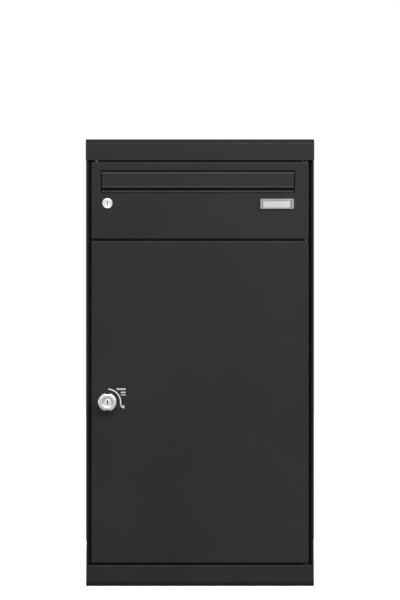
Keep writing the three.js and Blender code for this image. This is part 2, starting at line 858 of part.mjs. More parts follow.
// ---------------------------------------------------------------- locks

// A hexagonal nut behind the door skin, about the lock's axis.
function lockNut(barrelRadius) {
  const inner = barrelRadius + fit;
  const span = [sheet + fit, sheet + fit + nutThickness];
  const hex = barAlongY([0, 0], inner + nutWall, span, 6);
  return cut(hex, barAlongY([0, 0], inner, [span[0] - 1, span[1] + 1]));
}

// A round-ended tongue that hangs down from the lock's axis.
function lockCam() {
  const span = [camFace, camBack];
  const half = camWidth / 2;
  const tongue = join(
    barAlongY([0, 0], half, span),
    block([-half, half], span, [3 - camLength, 0]),
    barAlongY([0, 3 - camLength], half / 2, span, 12),
    block([-half / 2, half / 2], span, [-camLength, 0]),
  );
  const hole = tailHalf + fit;
  return cut(tongue, block([-hole, hole], [camFace - 1, camBack + 1], [-hole, hole]));
}

function camScrew() {
  const head = camBack + fit;
  return turned([
    [0, head - screwLength],
    [screwRadius, head - screwLength],
    [screwRadius, head],
    [screwHeadRadius, head],
    [screwHeadRadius, head + screwHead - 0.6],
    [screwHeadRadius - 1.2, head + screwHead],
    [0, head + screwHead],
  ]);
}

// A round shaft from front to behind the strike, with a square tail for the cam and a bore for its screw.
function lockShaft(radius, front) {
  const shoulder = camFace - fit;
  const shaft = join(
    barAlongY([0, 0], radius, [front, shoulder]),
    block([-tailHalf, tailHalf], [shoulder - 1, camBack - 0.4], [-tailHalf, tailHalf]),
  );
  return cut(shaft, barAlongY([0, 0], screwRadius + fit, [camBack - screwLength, camBack + 1], 16));
}

function keySlot([width, height], front) {
  return block([-width / 2, width / 2], [front - 1, front + keywayDepth], [-height / 2, height / 2]);
}

function letterLockHousing() {
  const bore = letterPlugRadius + fit;
  const back = camFace - 2 * fit;
  return turned([
    [bore, -letterFaceProud - fit],
    [letterFaceRadius - 0.8, -letterFaceProud - fit],
    [letterFaceRadius, -letterFaceProud + 0.5],
    [letterFaceRadius, -fit],
    [letterBarrelRadius, -fit],
    [letterBarrelRadius, back],
    [bore, back],
    [bore, -letterFaceProud - fit],
  ]);
}

function letterLockPlug() {
  const front = -letterFaceProud;
  return cut(lockShaft(letterPlugRadius, front), keySlot(letterKeyway, front));
}

function buildLetterLock(lock) {
  add(lock, "letter_lock_housing", letterLockHousing(), bright);
  add(lock, "letter_lock_nut", lockNut(letterBarrelRadius), zinc);
  add(lock, "letter_lock_plug", letterLockPlug(), bright);
  add(lock, "letter_cam", lockCam(), zinc);
  add(lock, "letter_cam_screw", camScrew(), zinc);
}

function parcelLockCollar() {
  const bore = spindleRadius + fit;
  const back = camFace - 2 * fit;
  return turned([
    [bore, knobLength - knobReach + fit],
    [collarRadius - 0.8, knobLength - knobReach + fit],
    [collarRadius, knobLength - knobReach + fit + 0.8],
    [collarRadius, -fit],
    [parcelBarrelRadius, -fit],
    [parcelBarrelRadius, stopFace - sealSpace - 1],
    [spindleRadius + 0.9 + fit, stopFace - sealSpace - 1],
    [spindleRadius + 0.9 + fit, back],
    [bore, back],
    [bore, knobLength - knobReach + fit],
  ]);
}

function parcelKnob() {
  const face = -knobReach;
  const back = face + knobLength;
  const keyBore = keyRadius + fit;
  const pocket = face + keyRecess + keyLength + fit;
  const body = turned(
    [
      [0, pocket],
      [keyBore, pocket],
      [keyBore, face + knobDishDepth],
      [knobDishRadius - 1.6, face + knobDishDepth * 0.62],
      [knobDishRadius, face + 0.4],
      [knobDishRadius + 0.6, face],
      [knobRadius - 0.8, face],
      [knobRadius, face + 0.8],
      [knobRadius, back - 0.6],
      [knobRadius - 0.6, back],
      [0, back],
    ],
    48,
  );
  const [width, depth] = knobNotch;
  const notch = (side) => {
    const z = onSide(side, knobRadius - depth, knobRadius + 1);
    return block([-width / 2, width / 2], [face - 1, back + 1], z);
  };
  return cut(body, notch(-1), notch(1));
}

function parcelKeyPlug() {
  const front = keyRecess - knobReach;
  return cut(barAlongY([0, 0], keyRadius, [front, front + keyLength]), keySlot(parcelKeyway, front));
}

function buildParcelLock(lock) {
  add(lock, "parcel_lock_collar", parcelLockCollar(), bright);
  add(lock, "parcel_lock_nut", lockNut(parcelBarrelRadius), zinc);
  add(lock, "parcel_knob", parcelKnob(), bright);
  add(lock, "parcel_spindle", lockShaft(spindleRadius, knobLength - knobReach + fit), zinc);
  add(lock, "parcel_cam", lockCam(), zinc);
  add(lock, "parcel_cam_screw", camScrew(), zinc);
  add(lock, "parcel_key_plug", parcelKeyPlug(), bright);
}

// ---------------------------------------------------------------- assembly

const dropBox = new THREE.Group();
const cabinet = place(new THREE.Group(), dropBox, [0, frontY, 0]);
buildCase(cabinet);
buildHinges(cabinet);
const letterDoor = place(new THREE.Group(), cabinet);
buildLetterDoor(letterDoor);
add(letterDoor, "letter_flap", letterFlap(), coat);
buildLetterLock(place(new THREE.Group(), letterDoor, [letterLockX, 0, letterLockZ]));
const parcelDoor = place(new THREE.Group(), cabinet);
buildParcelDoor(parcelDoor);
buildParcelLock(place(new THREE.Group(), parcelDoor, [parcelLockX, 0, parcelLockHeight]));

export default dropBox;
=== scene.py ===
"""Looks of the parcel drop box: folded sheet steel with a fine powder coat, satin locks, seals and fittings.

Everything is in metres in the frame of the part: X right, Y back, Z up, the plinth standing on z = 0.
"""

import json
import math

import bmesh
import bpy
from mathutils import Matrix, Vector


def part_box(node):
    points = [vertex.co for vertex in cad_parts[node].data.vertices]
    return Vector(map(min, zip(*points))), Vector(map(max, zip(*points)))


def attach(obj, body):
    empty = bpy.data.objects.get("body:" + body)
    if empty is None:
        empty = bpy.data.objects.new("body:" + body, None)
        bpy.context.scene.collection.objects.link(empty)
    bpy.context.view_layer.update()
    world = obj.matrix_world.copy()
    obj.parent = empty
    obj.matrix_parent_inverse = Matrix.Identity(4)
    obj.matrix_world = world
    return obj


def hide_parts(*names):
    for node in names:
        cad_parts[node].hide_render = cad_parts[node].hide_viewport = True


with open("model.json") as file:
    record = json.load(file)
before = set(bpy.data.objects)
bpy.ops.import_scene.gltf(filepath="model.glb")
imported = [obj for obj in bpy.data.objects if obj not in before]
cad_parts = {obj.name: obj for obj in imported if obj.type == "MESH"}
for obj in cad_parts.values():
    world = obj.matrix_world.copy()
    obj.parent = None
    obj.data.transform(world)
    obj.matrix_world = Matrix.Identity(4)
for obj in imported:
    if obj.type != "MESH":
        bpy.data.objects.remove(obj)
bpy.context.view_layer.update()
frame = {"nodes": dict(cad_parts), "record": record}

MM = 0.001
SHEET = 1.5 * MM
ROOF_SHEET = 1.2 * MM
TAU = 2 * math.pi

# ------------------------------------------------------------------ places taken from the frame

case_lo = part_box("left_side_panel")[0]
case_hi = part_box("right_side_panel")[1]
roof_lo, roof_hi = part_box("roof_cover")
parcel_lo, parcel_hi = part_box("parcel_door_panel")
letter_lo, letter_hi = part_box("letter_door_panel")
flap_lo, flap_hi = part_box("letter_flap")
plinth_lo, plinth_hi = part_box("plinth_front")
FRONT = case_lo.y
BACK = case_hi.y


def joint_spot(name):
    """The point that a joint of the record turns about."""
    joints = frame["record"]["behaviour"]["joints"]
    return Vector(next(j["pos_m"] for j in joints if j["name"] == name))


hinge = joint_spot("parcel_door_hinge")
pivot = joint_spot("flap_hinge")
letter_lock = joint_spot("letter_lock_turn")
knob = joint_spot("knob_turn")

# ------------------------------------------------------------------ camera, light and floor

VIEW_DISTANCE = 20.0  # a long lens far away, so the sides of the box stay hidden
VIEW_HEIGHT = 1.079  # height of the picture at the front of the box
VIEW_CENTRE = 0.5146


def make_camera():
    data = bpy.data.cameras.new("camera")
    data.lens = data.sensor_width * VIEW_DISTANCE / VIEW_HEIGHT
    data.clip_end = 4 * VIEW_DISTANCE
    camera = bpy.data.objects.new("camera", data)
    camera.location = (0, FRONT - VIEW_DISTANCE, VIEW_CENTRE)
    camera.rotation_euler = (math.radians(90), 0, 0)
    bpy.context.collection.objects.link(camera)
    bpy.context.scene.camera = camera


def soft_light(name, place, target, size, power, diffuse=True, glossy=True):
    """A rectangle of light; diffuse and glossy say which kinds of surface it shows on."""
    data = bpy.data.lights.new(name, "AREA")
    data.shape = "RECTANGLE"
    data.size, data.size_y = size
    data.energy = power
    light = bpy.data.objects.new(name, data)
    light.location = place
    aim = Vector(target) - Vector(place)
    light.rotation_euler = aim.to_track_quat("-Z", "Y").to_euler()
    light.visible_camera = False
    light.visible_diffuse = diffuse
    light.visible_glossy = glossy
    light.visible_transmission = glossy
    bpy.context.collection.objects.link(light)


FLOOR_GLOW = 0.8  # keeps the paper white to the camera in soft light
SKY_AIM = (0.15, -0.95, 0.25)  # where the studio is brightest
SKY_DARK, SKY_BRIGHT = 0.16, 0.95
SKY_SPREAD = 0.95  # how squarely a ray has to meet SKY_AIM for the full brightness
FLOOR_HALF = 30  # half the side of the floor


def make_world():
    """White to the camera; to everything else a studio that is bright in front and dim behind."""
    world = bpy.data.worlds.new("studio")
    bpy.context.scene.world = world
    world.use_nodes = True
    tree = world.node_tree
    nodes, links = tree.nodes, tree.links
    background = nodes["Background"]
    facing = nodes.new("ShaderNodeVectorMath")
    facing.operation = "DOT_PRODUCT"
    links.new(nodes.new("ShaderNodeTexCoord").outputs["Generated"], facing.inputs[0])
    facing.inputs[1].default_value = Vector(SKY_AIM).normalized()
    sky = nodes.new("ShaderNodeMapRange")
    sky.interpolation_type = "SMOOTHSTEP"
    set_inputs(sky, From_Min=0.0, From_Max=SKY_SPREAD, To_Min=SKY_DARK, To_Max=SKY_BRIGHT)
    links.new(facing.outputs["Value"], sky.inputs["Value"])
    level = nodes.new("ShaderNodeMix")
    level.data_type = "FLOAT"
    links.new(nodes.new("ShaderNodeLightPath").outputs["Is Camera Ray"], level.inputs["Factor"])
    links.new(sky.outputs["Result"], level.inputs["A"])
    level.inputs["B"].default_value = 1.0
    links.new(level.outputs["Result"], background.inputs["Strength"])
    background.inputs["Color"].default_value = (1, 1, 1, 1)


def make_floor():
    mesh = bpy.data.meshes.new("floor")
    half = FLOOR_HALF
    corners = [(-half, -half, 0), (half, -half, 0), (half, half, 0), (-half, half, 0)]
    mesh.from_pydata(corners, [], [(0, 1, 2, 3)])
    floor = bpy.data.objects.new("floor", mesh)
    floor.location.z = -0.05 * MM
    bpy.context.collection.objects.link(floor)
    floor.data.materials.append(plain_floor())


def plain_floor():
    """White paper that throws back less light than it shows, so the foot of the box stays in shade."""
    material, shader, links = new_material("pale_floor")
    nodes = material.node_tree.nodes
    tone = nodes.new("ShaderNodeMix")
    tone.data_type = "RGBA"
    links.new(nodes.new("ShaderNodeLightPath").outputs["Is Camera Ray"], tone.inputs["Factor"])
    set_inputs(tone, A=(0.42, 0.42, 0.42, 1), B=(0.97, 0.97, 0.97, 1))
    links.new(tone.outputs["Result"], shader.inputs["Base Color"])
    shader.inputs["Emission Color"].default_value = (1, 1, 1, 1)
    glow = math_node(material.node_tree, "MULTIPLY", nodes["Light Path"].outputs["Is Camera Ray"], FLOOR_GLOW)
    links.new(glow, shader.inputs["Emission Strength"])
    set_inputs(shader, Roughness=0.9, Specular_IOR_Level=0.1)
    return material


# ------------------------------------------------------------------ shader groups


def new_group(name, inputs, outputs):
    """An empty shader group with these sockets, and its nodes, links, input node and output node."""
    tree = bpy.data.node_groups.new(name, "ShaderNodeTree")
    for label, value in inputs.items():
        socket = tree.interface.new_socket(name=label, in_out="INPUT", socket_type="NodeSocketFloat")
        socket.default_value = value
    for label in outputs:
        tree.interface.new_socket(name=label, in_out="OUTPUT", socket_type="NodeSocketFloat")
    entry = tree.nodes.new("NodeGroupInput")
    leave = tree.nodes.new("NodeGroupOutput")
    return tree, entry, leave


def math_node(tree, operation, first, second=0.0, third=None):
    node = tree.nodes.new("ShaderNodeMath")
    node.operation = operation
    for i, value in enumerate((first, second, third)):
        if value is None:
            continue
        if isinstance(value, (int, float)):
            node.inputs[i].default_value = value
        else:
            tree.links.new(value, node.inputs[i])
    return node.outputs[0]


def set_inputs(node, **values):
    """Sets sockets by name, with an underscore for each space."""
    for label, value in values.items():
        node.inputs[label.replace("_", " ")].default_value = value


def place_node(tree):
    """Where a point is on its piece, in the metres of the part's frame."""
    return tree.nodes.new("ShaderNodeTexCoord").outputs["Object"]


def noise(tree, scale, detail=2.0, roughness=0.5, vector=None):
    node = tree.nodes.new("ShaderNodeTexNoise")
    tree.links.new(vector or place_node(tree), node.inputs["Vector"])
    if isinstance(scale, (int, float)):
        node.inputs["Scale"].default_value = scale
    else:
        tree.links.new(scale, node.inputs["Scale"])
    set_inputs(node, Detail=detail, Roughness=roughness)
    return node.outputs["Fac"]


def coat_group():
    """Powder coat: a fine grain, the slow roll of orange peel, and faint cloudiness and dust."""
    inputs = {"Grain per metre": 1500.0, "Peel per metre": 160.0, "Cloud per metre": 5.0, "Peel share": 0.5}
    tree, entry, leave = new_group("powder_coat", inputs, ["Grain", "Cloud", "Height"])
    grain = noise(tree, entry.outputs["Grain per metre"], 2.0, 0.55)
    peel = noise(tree, entry.outputs["Peel per metre"], 1.0, 0.4)
    cloud = noise(tree, entry.outputs["Cloud per metre"], 3.0, 0.6)
    height = math_node(tree, "MULTIPLY_ADD", peel, entry.outputs["Peel share"], grain)
    tree.links.new(grain, leave.inputs["Grain"])
    tree.links.new(cloud, leave.inputs["Cloud"])
    tree.links.new(height, leave.inputs["Height"])
    return tree


def lines_group():
    """Fine brushed or turned lines, stretched along X, Y or Z, with a few deeper scratches."""
    inputs = {"Along X": 1.0, "Along Y": 1.0, "Along Z": 1.0, "Lines per metre": 3000.0}
    tree, entry, leave = new_group("fine_lines", inputs, ["Lines", "Scratches"])
    stretch = tree.nodes.new("ShaderNodeCombineXYZ")
    for axis in "XYZ":
        tree.links.new(entry.outputs["Along " + axis], stretch.inputs[axis])
    scaled = tree.nodes.new("ShaderNodeVectorMath")
    scaled.operation = "MULTIPLY"
    tree.links.new(place_node(tree), scaled.inputs[0])
    tree.links.new(stretch.outputs[0], scaled.inputs[1])
    fine = noise(tree, entry.outputs["Lines per metre"], 3.0, 0.65, scaled.outputs[0])
    coarse_scale = math_node(tree, "MULTIPLY", entry.outputs["Lines per metre"], 0.3)
    coarse = noise(tree, coarse_scale, 2.0, 0.5, scaled.outputs[0])
    scratches = math_node(tree, "GREATER_THAN", coarse, 0.68)
    tree.links.new(fine, leave.inputs["Lines"])
    tree.links.new(scratches, leave.inputs["Scratches"])
    return tree


def spangle_group():
    """Zinc: crystal patches a few millimetres wide, and a soft stain over them."""
    tree, entry, leave = new_group("zinc_spangle", {"Patches per metre": 420.0}, ["Patch", "Stain"])
    cells = tree.nodes.new("ShaderNodeTexVoronoi")
    tree.links.new(place_node(tree), cells.inputs["Vector"])
    tree.links.new(entry.outputs["Patches per metre"], cells.inputs["Scale"])
    shade = tree.nodes.new("ShaderNodeSeparateColor")
    tree.links.new(cells.outputs["Color"], shade.inputs["Color"])
    tree.links.new(shade.outputs[0], leave.inputs["Patch"])
    tree.links.new(noise(tree, 60.0, 3.0), leave.inputs["Stain"])
    return tree


# ------------------------------------------------------------------ materials


def new_material(name):
    material = bpy.data.materials.new(name)
    material.use_nodes = True
    tree = material.node_tree
    shader = next(node for node in tree.nodes if node.type == "BSDF_PRINCIPLED")
    return material, shader, tree.links


def use_group(material, group, **values):
    node = material.node_tree.nodes.new("ShaderNodeGroup")
    node.node_tree = group
    set_inputs(node, **values)
    return node


def ramp(material, factor, stops):
    """Colours or greys along a factor; stops are (position, colour)."""
    node = material.node_tree.nodes.new("ShaderNodeValToRGB")
    material.node_tree.links.new(factor, node.inputs["Fac"])
    points = node.color_ramp.elements
    while len(points) < len(stops):
        points.new(0.5)
    for point, (position, colour) in zip(points, stops):
        point.position = position
        point.color = (*colour, 1) if isinstance(colour, tuple) else (colour, colour, colour, 1)
    return node.outputs["Color"]


def bump(material, height, distance):
    """A Bump node with relief up to this distance, feeding the shader's Normal."""
    node = material.node_tree.nodes.new("ShaderNodeBump")
    node.inputs["Distance"].default_value = distance
    shader = next(n for n in material.node_tree.nodes if n.type == "BSDF_PRINCIPLED")
    material.node_tree.links.new(height, node.inputs["Height"])
    material.node_tree.links.new(node.outputs["Normal"], shader.inputs["Normal"])


def coat_material(name, dark, light, rough, grain, relief, specular):
    """A powder-coated finish between two colours."""
    material, shader, links = new_material(name)
    texture = use_group(material, POWDER, Grain_per_metre=grain)
    colour = ramp(material, texture.outputs["Cloud"], [(0.3, dark), (0.7, light)])
    gloss = ramp(material, texture.outputs["Grain"], [(0.3, rough[0]), (0.7, rough[1])])
    links.new(colour, shader.inputs["Base Color"])
    links.new(gloss, shader.inputs["Roughness"])
    shader.inputs["Specular IOR Level"].default_value = specular
    bump(material, texture.outputs["Height"], relief)
    return material


def metal_material(name, dark, light, rough, relief, **lines):
    """Bare or plated metal with fine lines in it."""
    material, shader, links = new_material(name)
    texture = use_group(material, LINES, **lines)
    colour = ramp(material, texture.outputs["Lines"], [(0.3, dark), (0.7, light)])
    gloss = ramp(material, texture.outputs["Lines"], [(0.25, rough[0]), (0.75, rough[1])])
    links.new(colour, shader.inputs["Base Color"])
    links.new(gloss, shader.inputs["Roughness"])
    shader.inputs["Metallic"].default_value = 1.0
    bump(material, texture.outputs["Lines"], relief)
    return material


def zinc_material():
    material, shader, links = new_material("zinc_steel")
    spangle = use_group(material, SPANGLE)
    colours = [(0.0, (0.36, 0.37, 0.38)), (0.55, (0.45, 0.46, 0.47)), (1.0, (0.52, 0.52, 0.5))]
    links.new(ramp(material, spangle.outputs["Patch"], colours), shader.inputs["Base Color"])
    links.new(ramp(material, spangle.outputs["Stain"], [(0.3, 0.3), (0.75, 0.5)]), shader.inputs["Roughness"])
    shader.inputs["Metallic"].default_value = 1.0
    bump(material, spangle.outputs["Stain"], 0.03 * MM)
    return material


def card_material():
    material, shader, links = new_material("card")
    fibres = use_group(material, LINES, Along_X=0.25, Lines_per_metre=2600.0)
    tones = [(0.3, (0.36, 0.36, 0.355)), (0.7, (0.40, 0.40, 0.395))]
    links.new(ramp(material, fibres.outputs["Lines"], tones), shader.inputs["Base Color"])
    links.new(ramp(material, fibres.outputs["Lines"], [(0.2, 0.8), (0.8, 0.95)]), shader.inputs["Roughness"])
    bump(material, fibres.outputs["Lines"], 0.03 * MM)
    return material


def clear_material():
    """The clear plastic window of the name plate, slightly hazy."""
    material, shader, links = new_material("clear_cover")
    ripple = use_group(material, POWDER, Grain_per_metre=300.0)
    links.new(ramp(material, ripple.outputs["Grain"], [(0.2, 0.14), (0.8, 0.2)]), shader.inputs["Roughness"])
    set_inputs(shader, Base_Color=(0.99, 0.99, 0.99, 1), Transmission_Weight=1.0, IOR=1.2)
    return material


POWDER = coat_group()
LINES = lines_group()
SPANGLE = spangle_group()

DARK_COAT = coat_material(
    "dark_coat", (0.0128, 0.0129, 0.0132), (0.0156, 0.0157, 0.0160), (0.4, 0.52), 1500.0, 0.06 * MM, 0.14
)
PLINTH_COAT = coat_material(
    "plinth_coat", (0.0108, 0.0109, 0.0112), (0.0134, 0.0135, 0.0138), (0.46, 0.6), 1300.0, 0.07 * MM, 0.16
)
BLACK_PLASTIC = coat_material(
    "black_plastic", (0.012, 0.012, 0.0125), (0.017, 0.017, 0.0175), (0.5, 0.66), 2400.0, 0.05 * MM, 0.4
)
RUBBER = coat_material(
    "seal_rubber", (0.010, 0.010, 0.0105), (0.016, 0.016, 0.0165), (0.78, 0.92), 3200.0, 0.12 * MM, 0.3
)
PLATE_GREY = coat_material(
    "plate_grey", (0.2, 0.2, 0.205), (0.245, 0.245, 0.25), (0.36, 0.5), 2600.0, 0.03 * MM, 0.5
)
INK = coat_material(
    "print_ink", (0.42, 0.42, 0.42), (0.52, 0.52, 0.52), (0.5, 0.7), 3000.0, 0.02 * MM, 0.4
)
SATIN = metal_material(
    "satin_nickel", (0.68, 0.67, 0.655), (0.79, 0.78, 0.765), (0.28, 0.4), 0.008 * MM, Along_Z=0.15
)
TURNED = metal_material(
    "turned_nickel", (0.84, 0.83, 0.805), (0.93, 0.92, 0.895), (0.32, 0.44), 0.008 * MM, Along_X=0.2
)
ZINC = zinc_material()
CARD = card_material()
CLEAR = clear_material()

# ------------------------------------------------------------------ mesh tools

SAME_POINT = 0.002 * MM  # vertices closer than this are one
SOFT_TURN = 40  # edges that turn by more than this many degrees get a radius
BEND_STEP = 15  # degrees of a bend in each of its faces


def piece_from(name, bm, material, body, replaced=(), sharp=35):
    """A finished piece: smooth faces with sharp edges where they turn by more than the given angle."""
    bmesh.ops.remove_doubles(bm, verts=bm.verts, dist=SAME_POINT)
    bmesh.ops.recalc_face_normals(bm, faces=bm.faces)
    limit = math.radians(sharp)
    for face in bm.faces:
        face.smooth = True
    for edge in bm.edges:
        edge.smooth = len(edge.link_faces) == 2 and edge.calc_face_angle(0) < limit
    mesh = bpy.data.meshes.new(name)
    bm.to_mesh(mesh)
    bm.free()
    obj = bpy.data.objects.new(name, mesh)
    bpy.context.collection.objects.link(obj)
    mesh.materials.append(material)
    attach(obj, body)
    if replaced:
        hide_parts(*replaced)
    return even_shading(obj)


def even_shading(obj):
    """Keeps large flat faces flat beside their rounded edges; always the last modifier."""
    old = obj.modifiers.get("even_shading")
    if old:
        obj.modifiers.remove(old)
    modifier = obj.modifiers.new("even_shading", "WEIGHTED_NORMAL")
    modifier.weight = 100
    modifier.keep_sharp = True
    return obj


def bevel(obj, width, segments=2):
    modifier = obj.modifiers.new("edge_radius", "BEVEL")
    modifier.width = width
    modifier.segments = segments
    modifier.limit_method = "ANGLE"
    modifier.angle_limit = math.radians(SOFT_TURN)
    return even_shading(obj)


def soften_node(name, material, width):
    """Gives a CAD node's edges a small radius and its finish."""
    node = frame["nodes"][name]
    weld = node.modifiers.new("weld", "WELD")
    weld.merge_threshold = 0.005 * MM
    flat = node.modifiers.new("flat_faces", "DECIMATE")
    flat.decimate_type = "DISSOLVE"
    flat.angle_limit = math.radians(1)
    bevel(node, width)
    node.data.materials.clear()
    node.data.materials.append(material)


def box_mesh(low, high):
    bm = bmesh.new()
    low, high = Vector(low), Vector(high)
    size, centre = high - low, (low + high) / 2
    bmesh.ops.create_cube(bm, size=1, matrix=Matrix.Translation(centre) @ Matrix.Diagonal((*size, 1)))
    return bm


def box_about(spot, half_x, half_z, front, back):
    """A box whose middle, as seen from the front, is at this spot."""
    low = (spot.x - half_x, front, spot.z - half_z)
    return box_mesh(low, (spot.x + half_x, back, spot.z + half_z))


def spots_from(first, second, spots):
    """Points given in millimetres from one place."""
    return [(first + u * MM, second + v * MM) for u, v in spots]


def outline_mesh(outline, axis, start, end):
    """A closed outline in the two other axes, run along one axis from start to end."""
    place = {
        "x": lambda u, v, w: (w, u, v),
        "y": lambda u, v, w: (u, w, v),
        "z": lambda u, v, w: (u, v, w),
    }[axis]
    bm = bmesh.new()
    first = [bm.verts.new(place(u, v, start)) for u, v in outline]
    last = [bm.verts.new(place(u, v, end)) for u, v in outline]
    bm.faces.new(first)
    bm.faces.new(last)
    for i in range(len(outline)):
        j = (i + 1) % len(outline)
        bm.faces.new((first[i], first[j], last[j], last[i]))
    bmesh.ops.recalc_face_normals(bm, faces=bm.faces)
    return bm


def turned_mesh(profile, centre, axis="y", sides=64, shape=None):
    """A turned piece about an axis through centre; profile is (radius, place along the axis).

    shape, if given, changes a point's radius and place with its angle, for notches and grips.
    """
    bm = bmesh.new()
    rings = []
    for r, along in profile:
        ring = []
        for k in range(sides if r > 1e-6 else 1):
            angle = TAU * k / sides
            reach, at = shape(r, along, angle) if shape else (r, along)
            u, v = reach * math.sin(angle), reach * math.cos(angle)
            spot = {"y": (u, at, v), "z": (u, v, at), "x": (at, u, v)}[axis]
            ring.append(bm.verts.new(Vector(centre) + Vector(spot)))
        rings.append(ring)
    for a, b in zip(rings, rings[1:] + (rings[:1] if profile[0][0] > 1e-6 else [])):
        for k in range(sides):
            corners = [a[k % len(a)], a[(k + 1) % len(a)], b[(k + 1) % len(b)], b[k % len(b)]]
            unique = list(dict.fromkeys(corners))
            if len(unique) > 2:
                bm.faces.new(unique)
    bmesh.ops.recalc_face_normals(bm, faces=bm.faces)
    return bm


def profile_at(spots, along=0.0):
    """Profile points given in millimetres, counted from this place along the axis."""
    return [(radius * MM, along + step * MM) for radius, step in spots]


def mesh_from(bm):
    mesh = bpy.data.meshes.new("scratch")
    bm.to_mesh(mesh)
    bm.free()
    return mesh


def combine(base, cutters=(), joined=(), thickness=0.0):
    """base thickened inward where asked, with other meshes joined to it and cut out of it, as a new bmesh."""
    scene = bpy.context.collection
    target = bpy.data.objects.new("scratch", mesh_from(base))
    scene.objects.link(target)
    helpers = []
    if thickness:
        wall = target.modifiers.new("wall", "SOLIDIFY")
        wall.thickness = thickness
        wall.offset = -1
        wall.use_even_offset = True
    for operation, others in (("UNION", joined), ("DIFFERENCE", cutters)):
        for other in others:
            helper = bpy.data.objects.new("scratch", mesh_from(other))
            scene.objects.link(helper)
            helpers.append(helper)
            step = target.modifiers.new("step", "BOOLEAN")
            step.operation = operation
            step.solver = "EXACT"
            step.object = helper
    bpy.context.view_layer.update()
    result = bmesh.new()
    result.from_mesh(target.evaluated_get(bpy.context.evaluated_depsgraph_get()).to_mesh())
    for obj in [target, *helpers]:
        mesh = obj.data
        bpy.data.objects.remove(obj)
        bpy.data.meshes.remove(mesh)
    bmesh.ops.dissolve_limit(result, angle_limit=math.radians(0.3), verts=result.verts, edges=result.edges)
    return result


def rounded_path(points, radius):
    """A path whose inner corners are arcs of that radius."""
    rounded = [Vector(points[0])]
    for before, corner, after in zip(points, points[1:], points[2:]):
        a, c, b = Vector(before), Vector(corner), Vector(after)
        u, v = (a - c).normalized(), (b - c).normalized()
        half = u.angle(v) / 2
        reach = min(radius / math.tan(half), 0.49 * (a - c).length, 0.49 * (b - c).length)
        middle = c + (u + v).normalized() * (reach / math.cos(half))
        start, end = c + u * reach - middle, c + v * reach - middle
        turn = math.pi - 2 * half
        count = max(2, round(math.degrees(turn) / BEND_STEP))
        side = 1 if start.x * end.y - start.y * end.x > 0 else -1
        for k in range(count + 1):
            angle = side * turn * k / count
            spin = Matrix.Rotation(angle, 2)
            rounded.append(middle + spin @ start)
    rounded.append(Vector(points[-1]))
    return rounded


def folded_outline(points, thickness, bend):
    """The outline of a sheet folded along a path through its middle."""
    path = rounded_path([Vector(p) for p in points], bend)
    sides = ([], [])
    for i, point in enumerate(path):
        before = (point - path[i - 1]).normalized() if i else None
        after = (path[i + 1] - point).normalized() if i + 1 < len(path) else None
        ahead = ((before or after) + (after or before)).normalized()
        normal = Vector((-ahead.y, ahead.x))
        square = (before or after).dot(ahead)
        for side, sign in zip(sides, (1, -1)):
            side.append(point + normal * sign * thickness / 2 / square)
    return [tuple(p) for p in sides[0] + sides[1][::-1]]


def arc(centre, radius, start, end, steps):
    """Points along an arc; angles in degrees from the first axis towards the second."""
    points = []
    for k in range(steps + 1):
        angle = math.radians(start + (end - start) * k / steps)
        points.append((centre[0] + radius * math.cos(angle), centre[1] + radius * math.sin(angle)))
    return points


# ------------------------------------------------------------------ folded sheet pieces


def round_edges(bm, edges, width, segments, clamp=False):
    bmesh.ops.bevel(
        bm, geom=edges, offset=width, segments=segments, profile=0.5, affect="EDGES", clamp_overlap=clamp
    )


def edges_along_y(bm):
    return [e for e in bm.edges if abs((e.verts[0].co - e.verts[1].co).y) > MM]


def rim_edges(bm, y):
    return [e for e in bm.edges if all(abs(v.co.y - y) < 0.01 * MM for v in e.verts)]


def rounded_box(low, high, corner, rim):
    """A box with rounded corners as seen from the front, and rounded front and back rims."""
    bm = box_mesh(low, high)
    round_edges(bm, edges_along_y(bm), corner, 4)
    if rim:
        front, back = set(rim_edges(bm, low[1])), set(rim_edges(bm, high[1]))
        round_edges(bm, [e for e in bm.edges if e in front or e in back], rim, 4)
    return bm


def door_pan(name, node, body, cutters):
    """A pan folded from one sheet: rounded bends round the front and the back, and a return at the back."""
    low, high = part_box(node)
    wall = Vector((SHEET, SHEET, SHEET))
    lip = Vector((14 * MM, 0, 14 * MM))
    corner, rim = 2.4 * MM, 1.9 * MM
    outside = rounded_box(low, high, corner, rim)
    inside = rounded_box(low + wall, high - wall, corner - SHEET, rim - SHEET)
    behind = Vector((0, 9 * MM, 0))
    opening = rounded_box(low + lip + behind, high - lip + behind, 4 * MM, 0)
    pan = combine(outside, cutters=[inside, opening, *cutters])
    return bevel(piece_from(name, pan, DARK_COAT, body, [node]), 0.2 * MM)


HOLE_REACH = 3.5 * MM  # half the length of a cutter for a hole in a sheet
BUSH_HOLE = 3.45 * MM


def round_cutter(centre, radius, axis, sides):
    reach = HOLE_REACH
    return turned_mesh([(0, -reach), (radius, -reach), (radius, reach), (0, reach)], centre, axis, sides)


def hinge_hole(edge):
    """A cutter for the bush hole in the top or bottom edge of a door."""
    return round_cutter(Vector((hinge.x, hinge.y, edge)), BUSH_HOLE, "z", 32)


def through_hole(spot, radius):
    """A cutter for the hole that a lock passes through."""
    return round_cutter(Vector((spot.x, FRONT, spot.z)), radius, "y", 48)


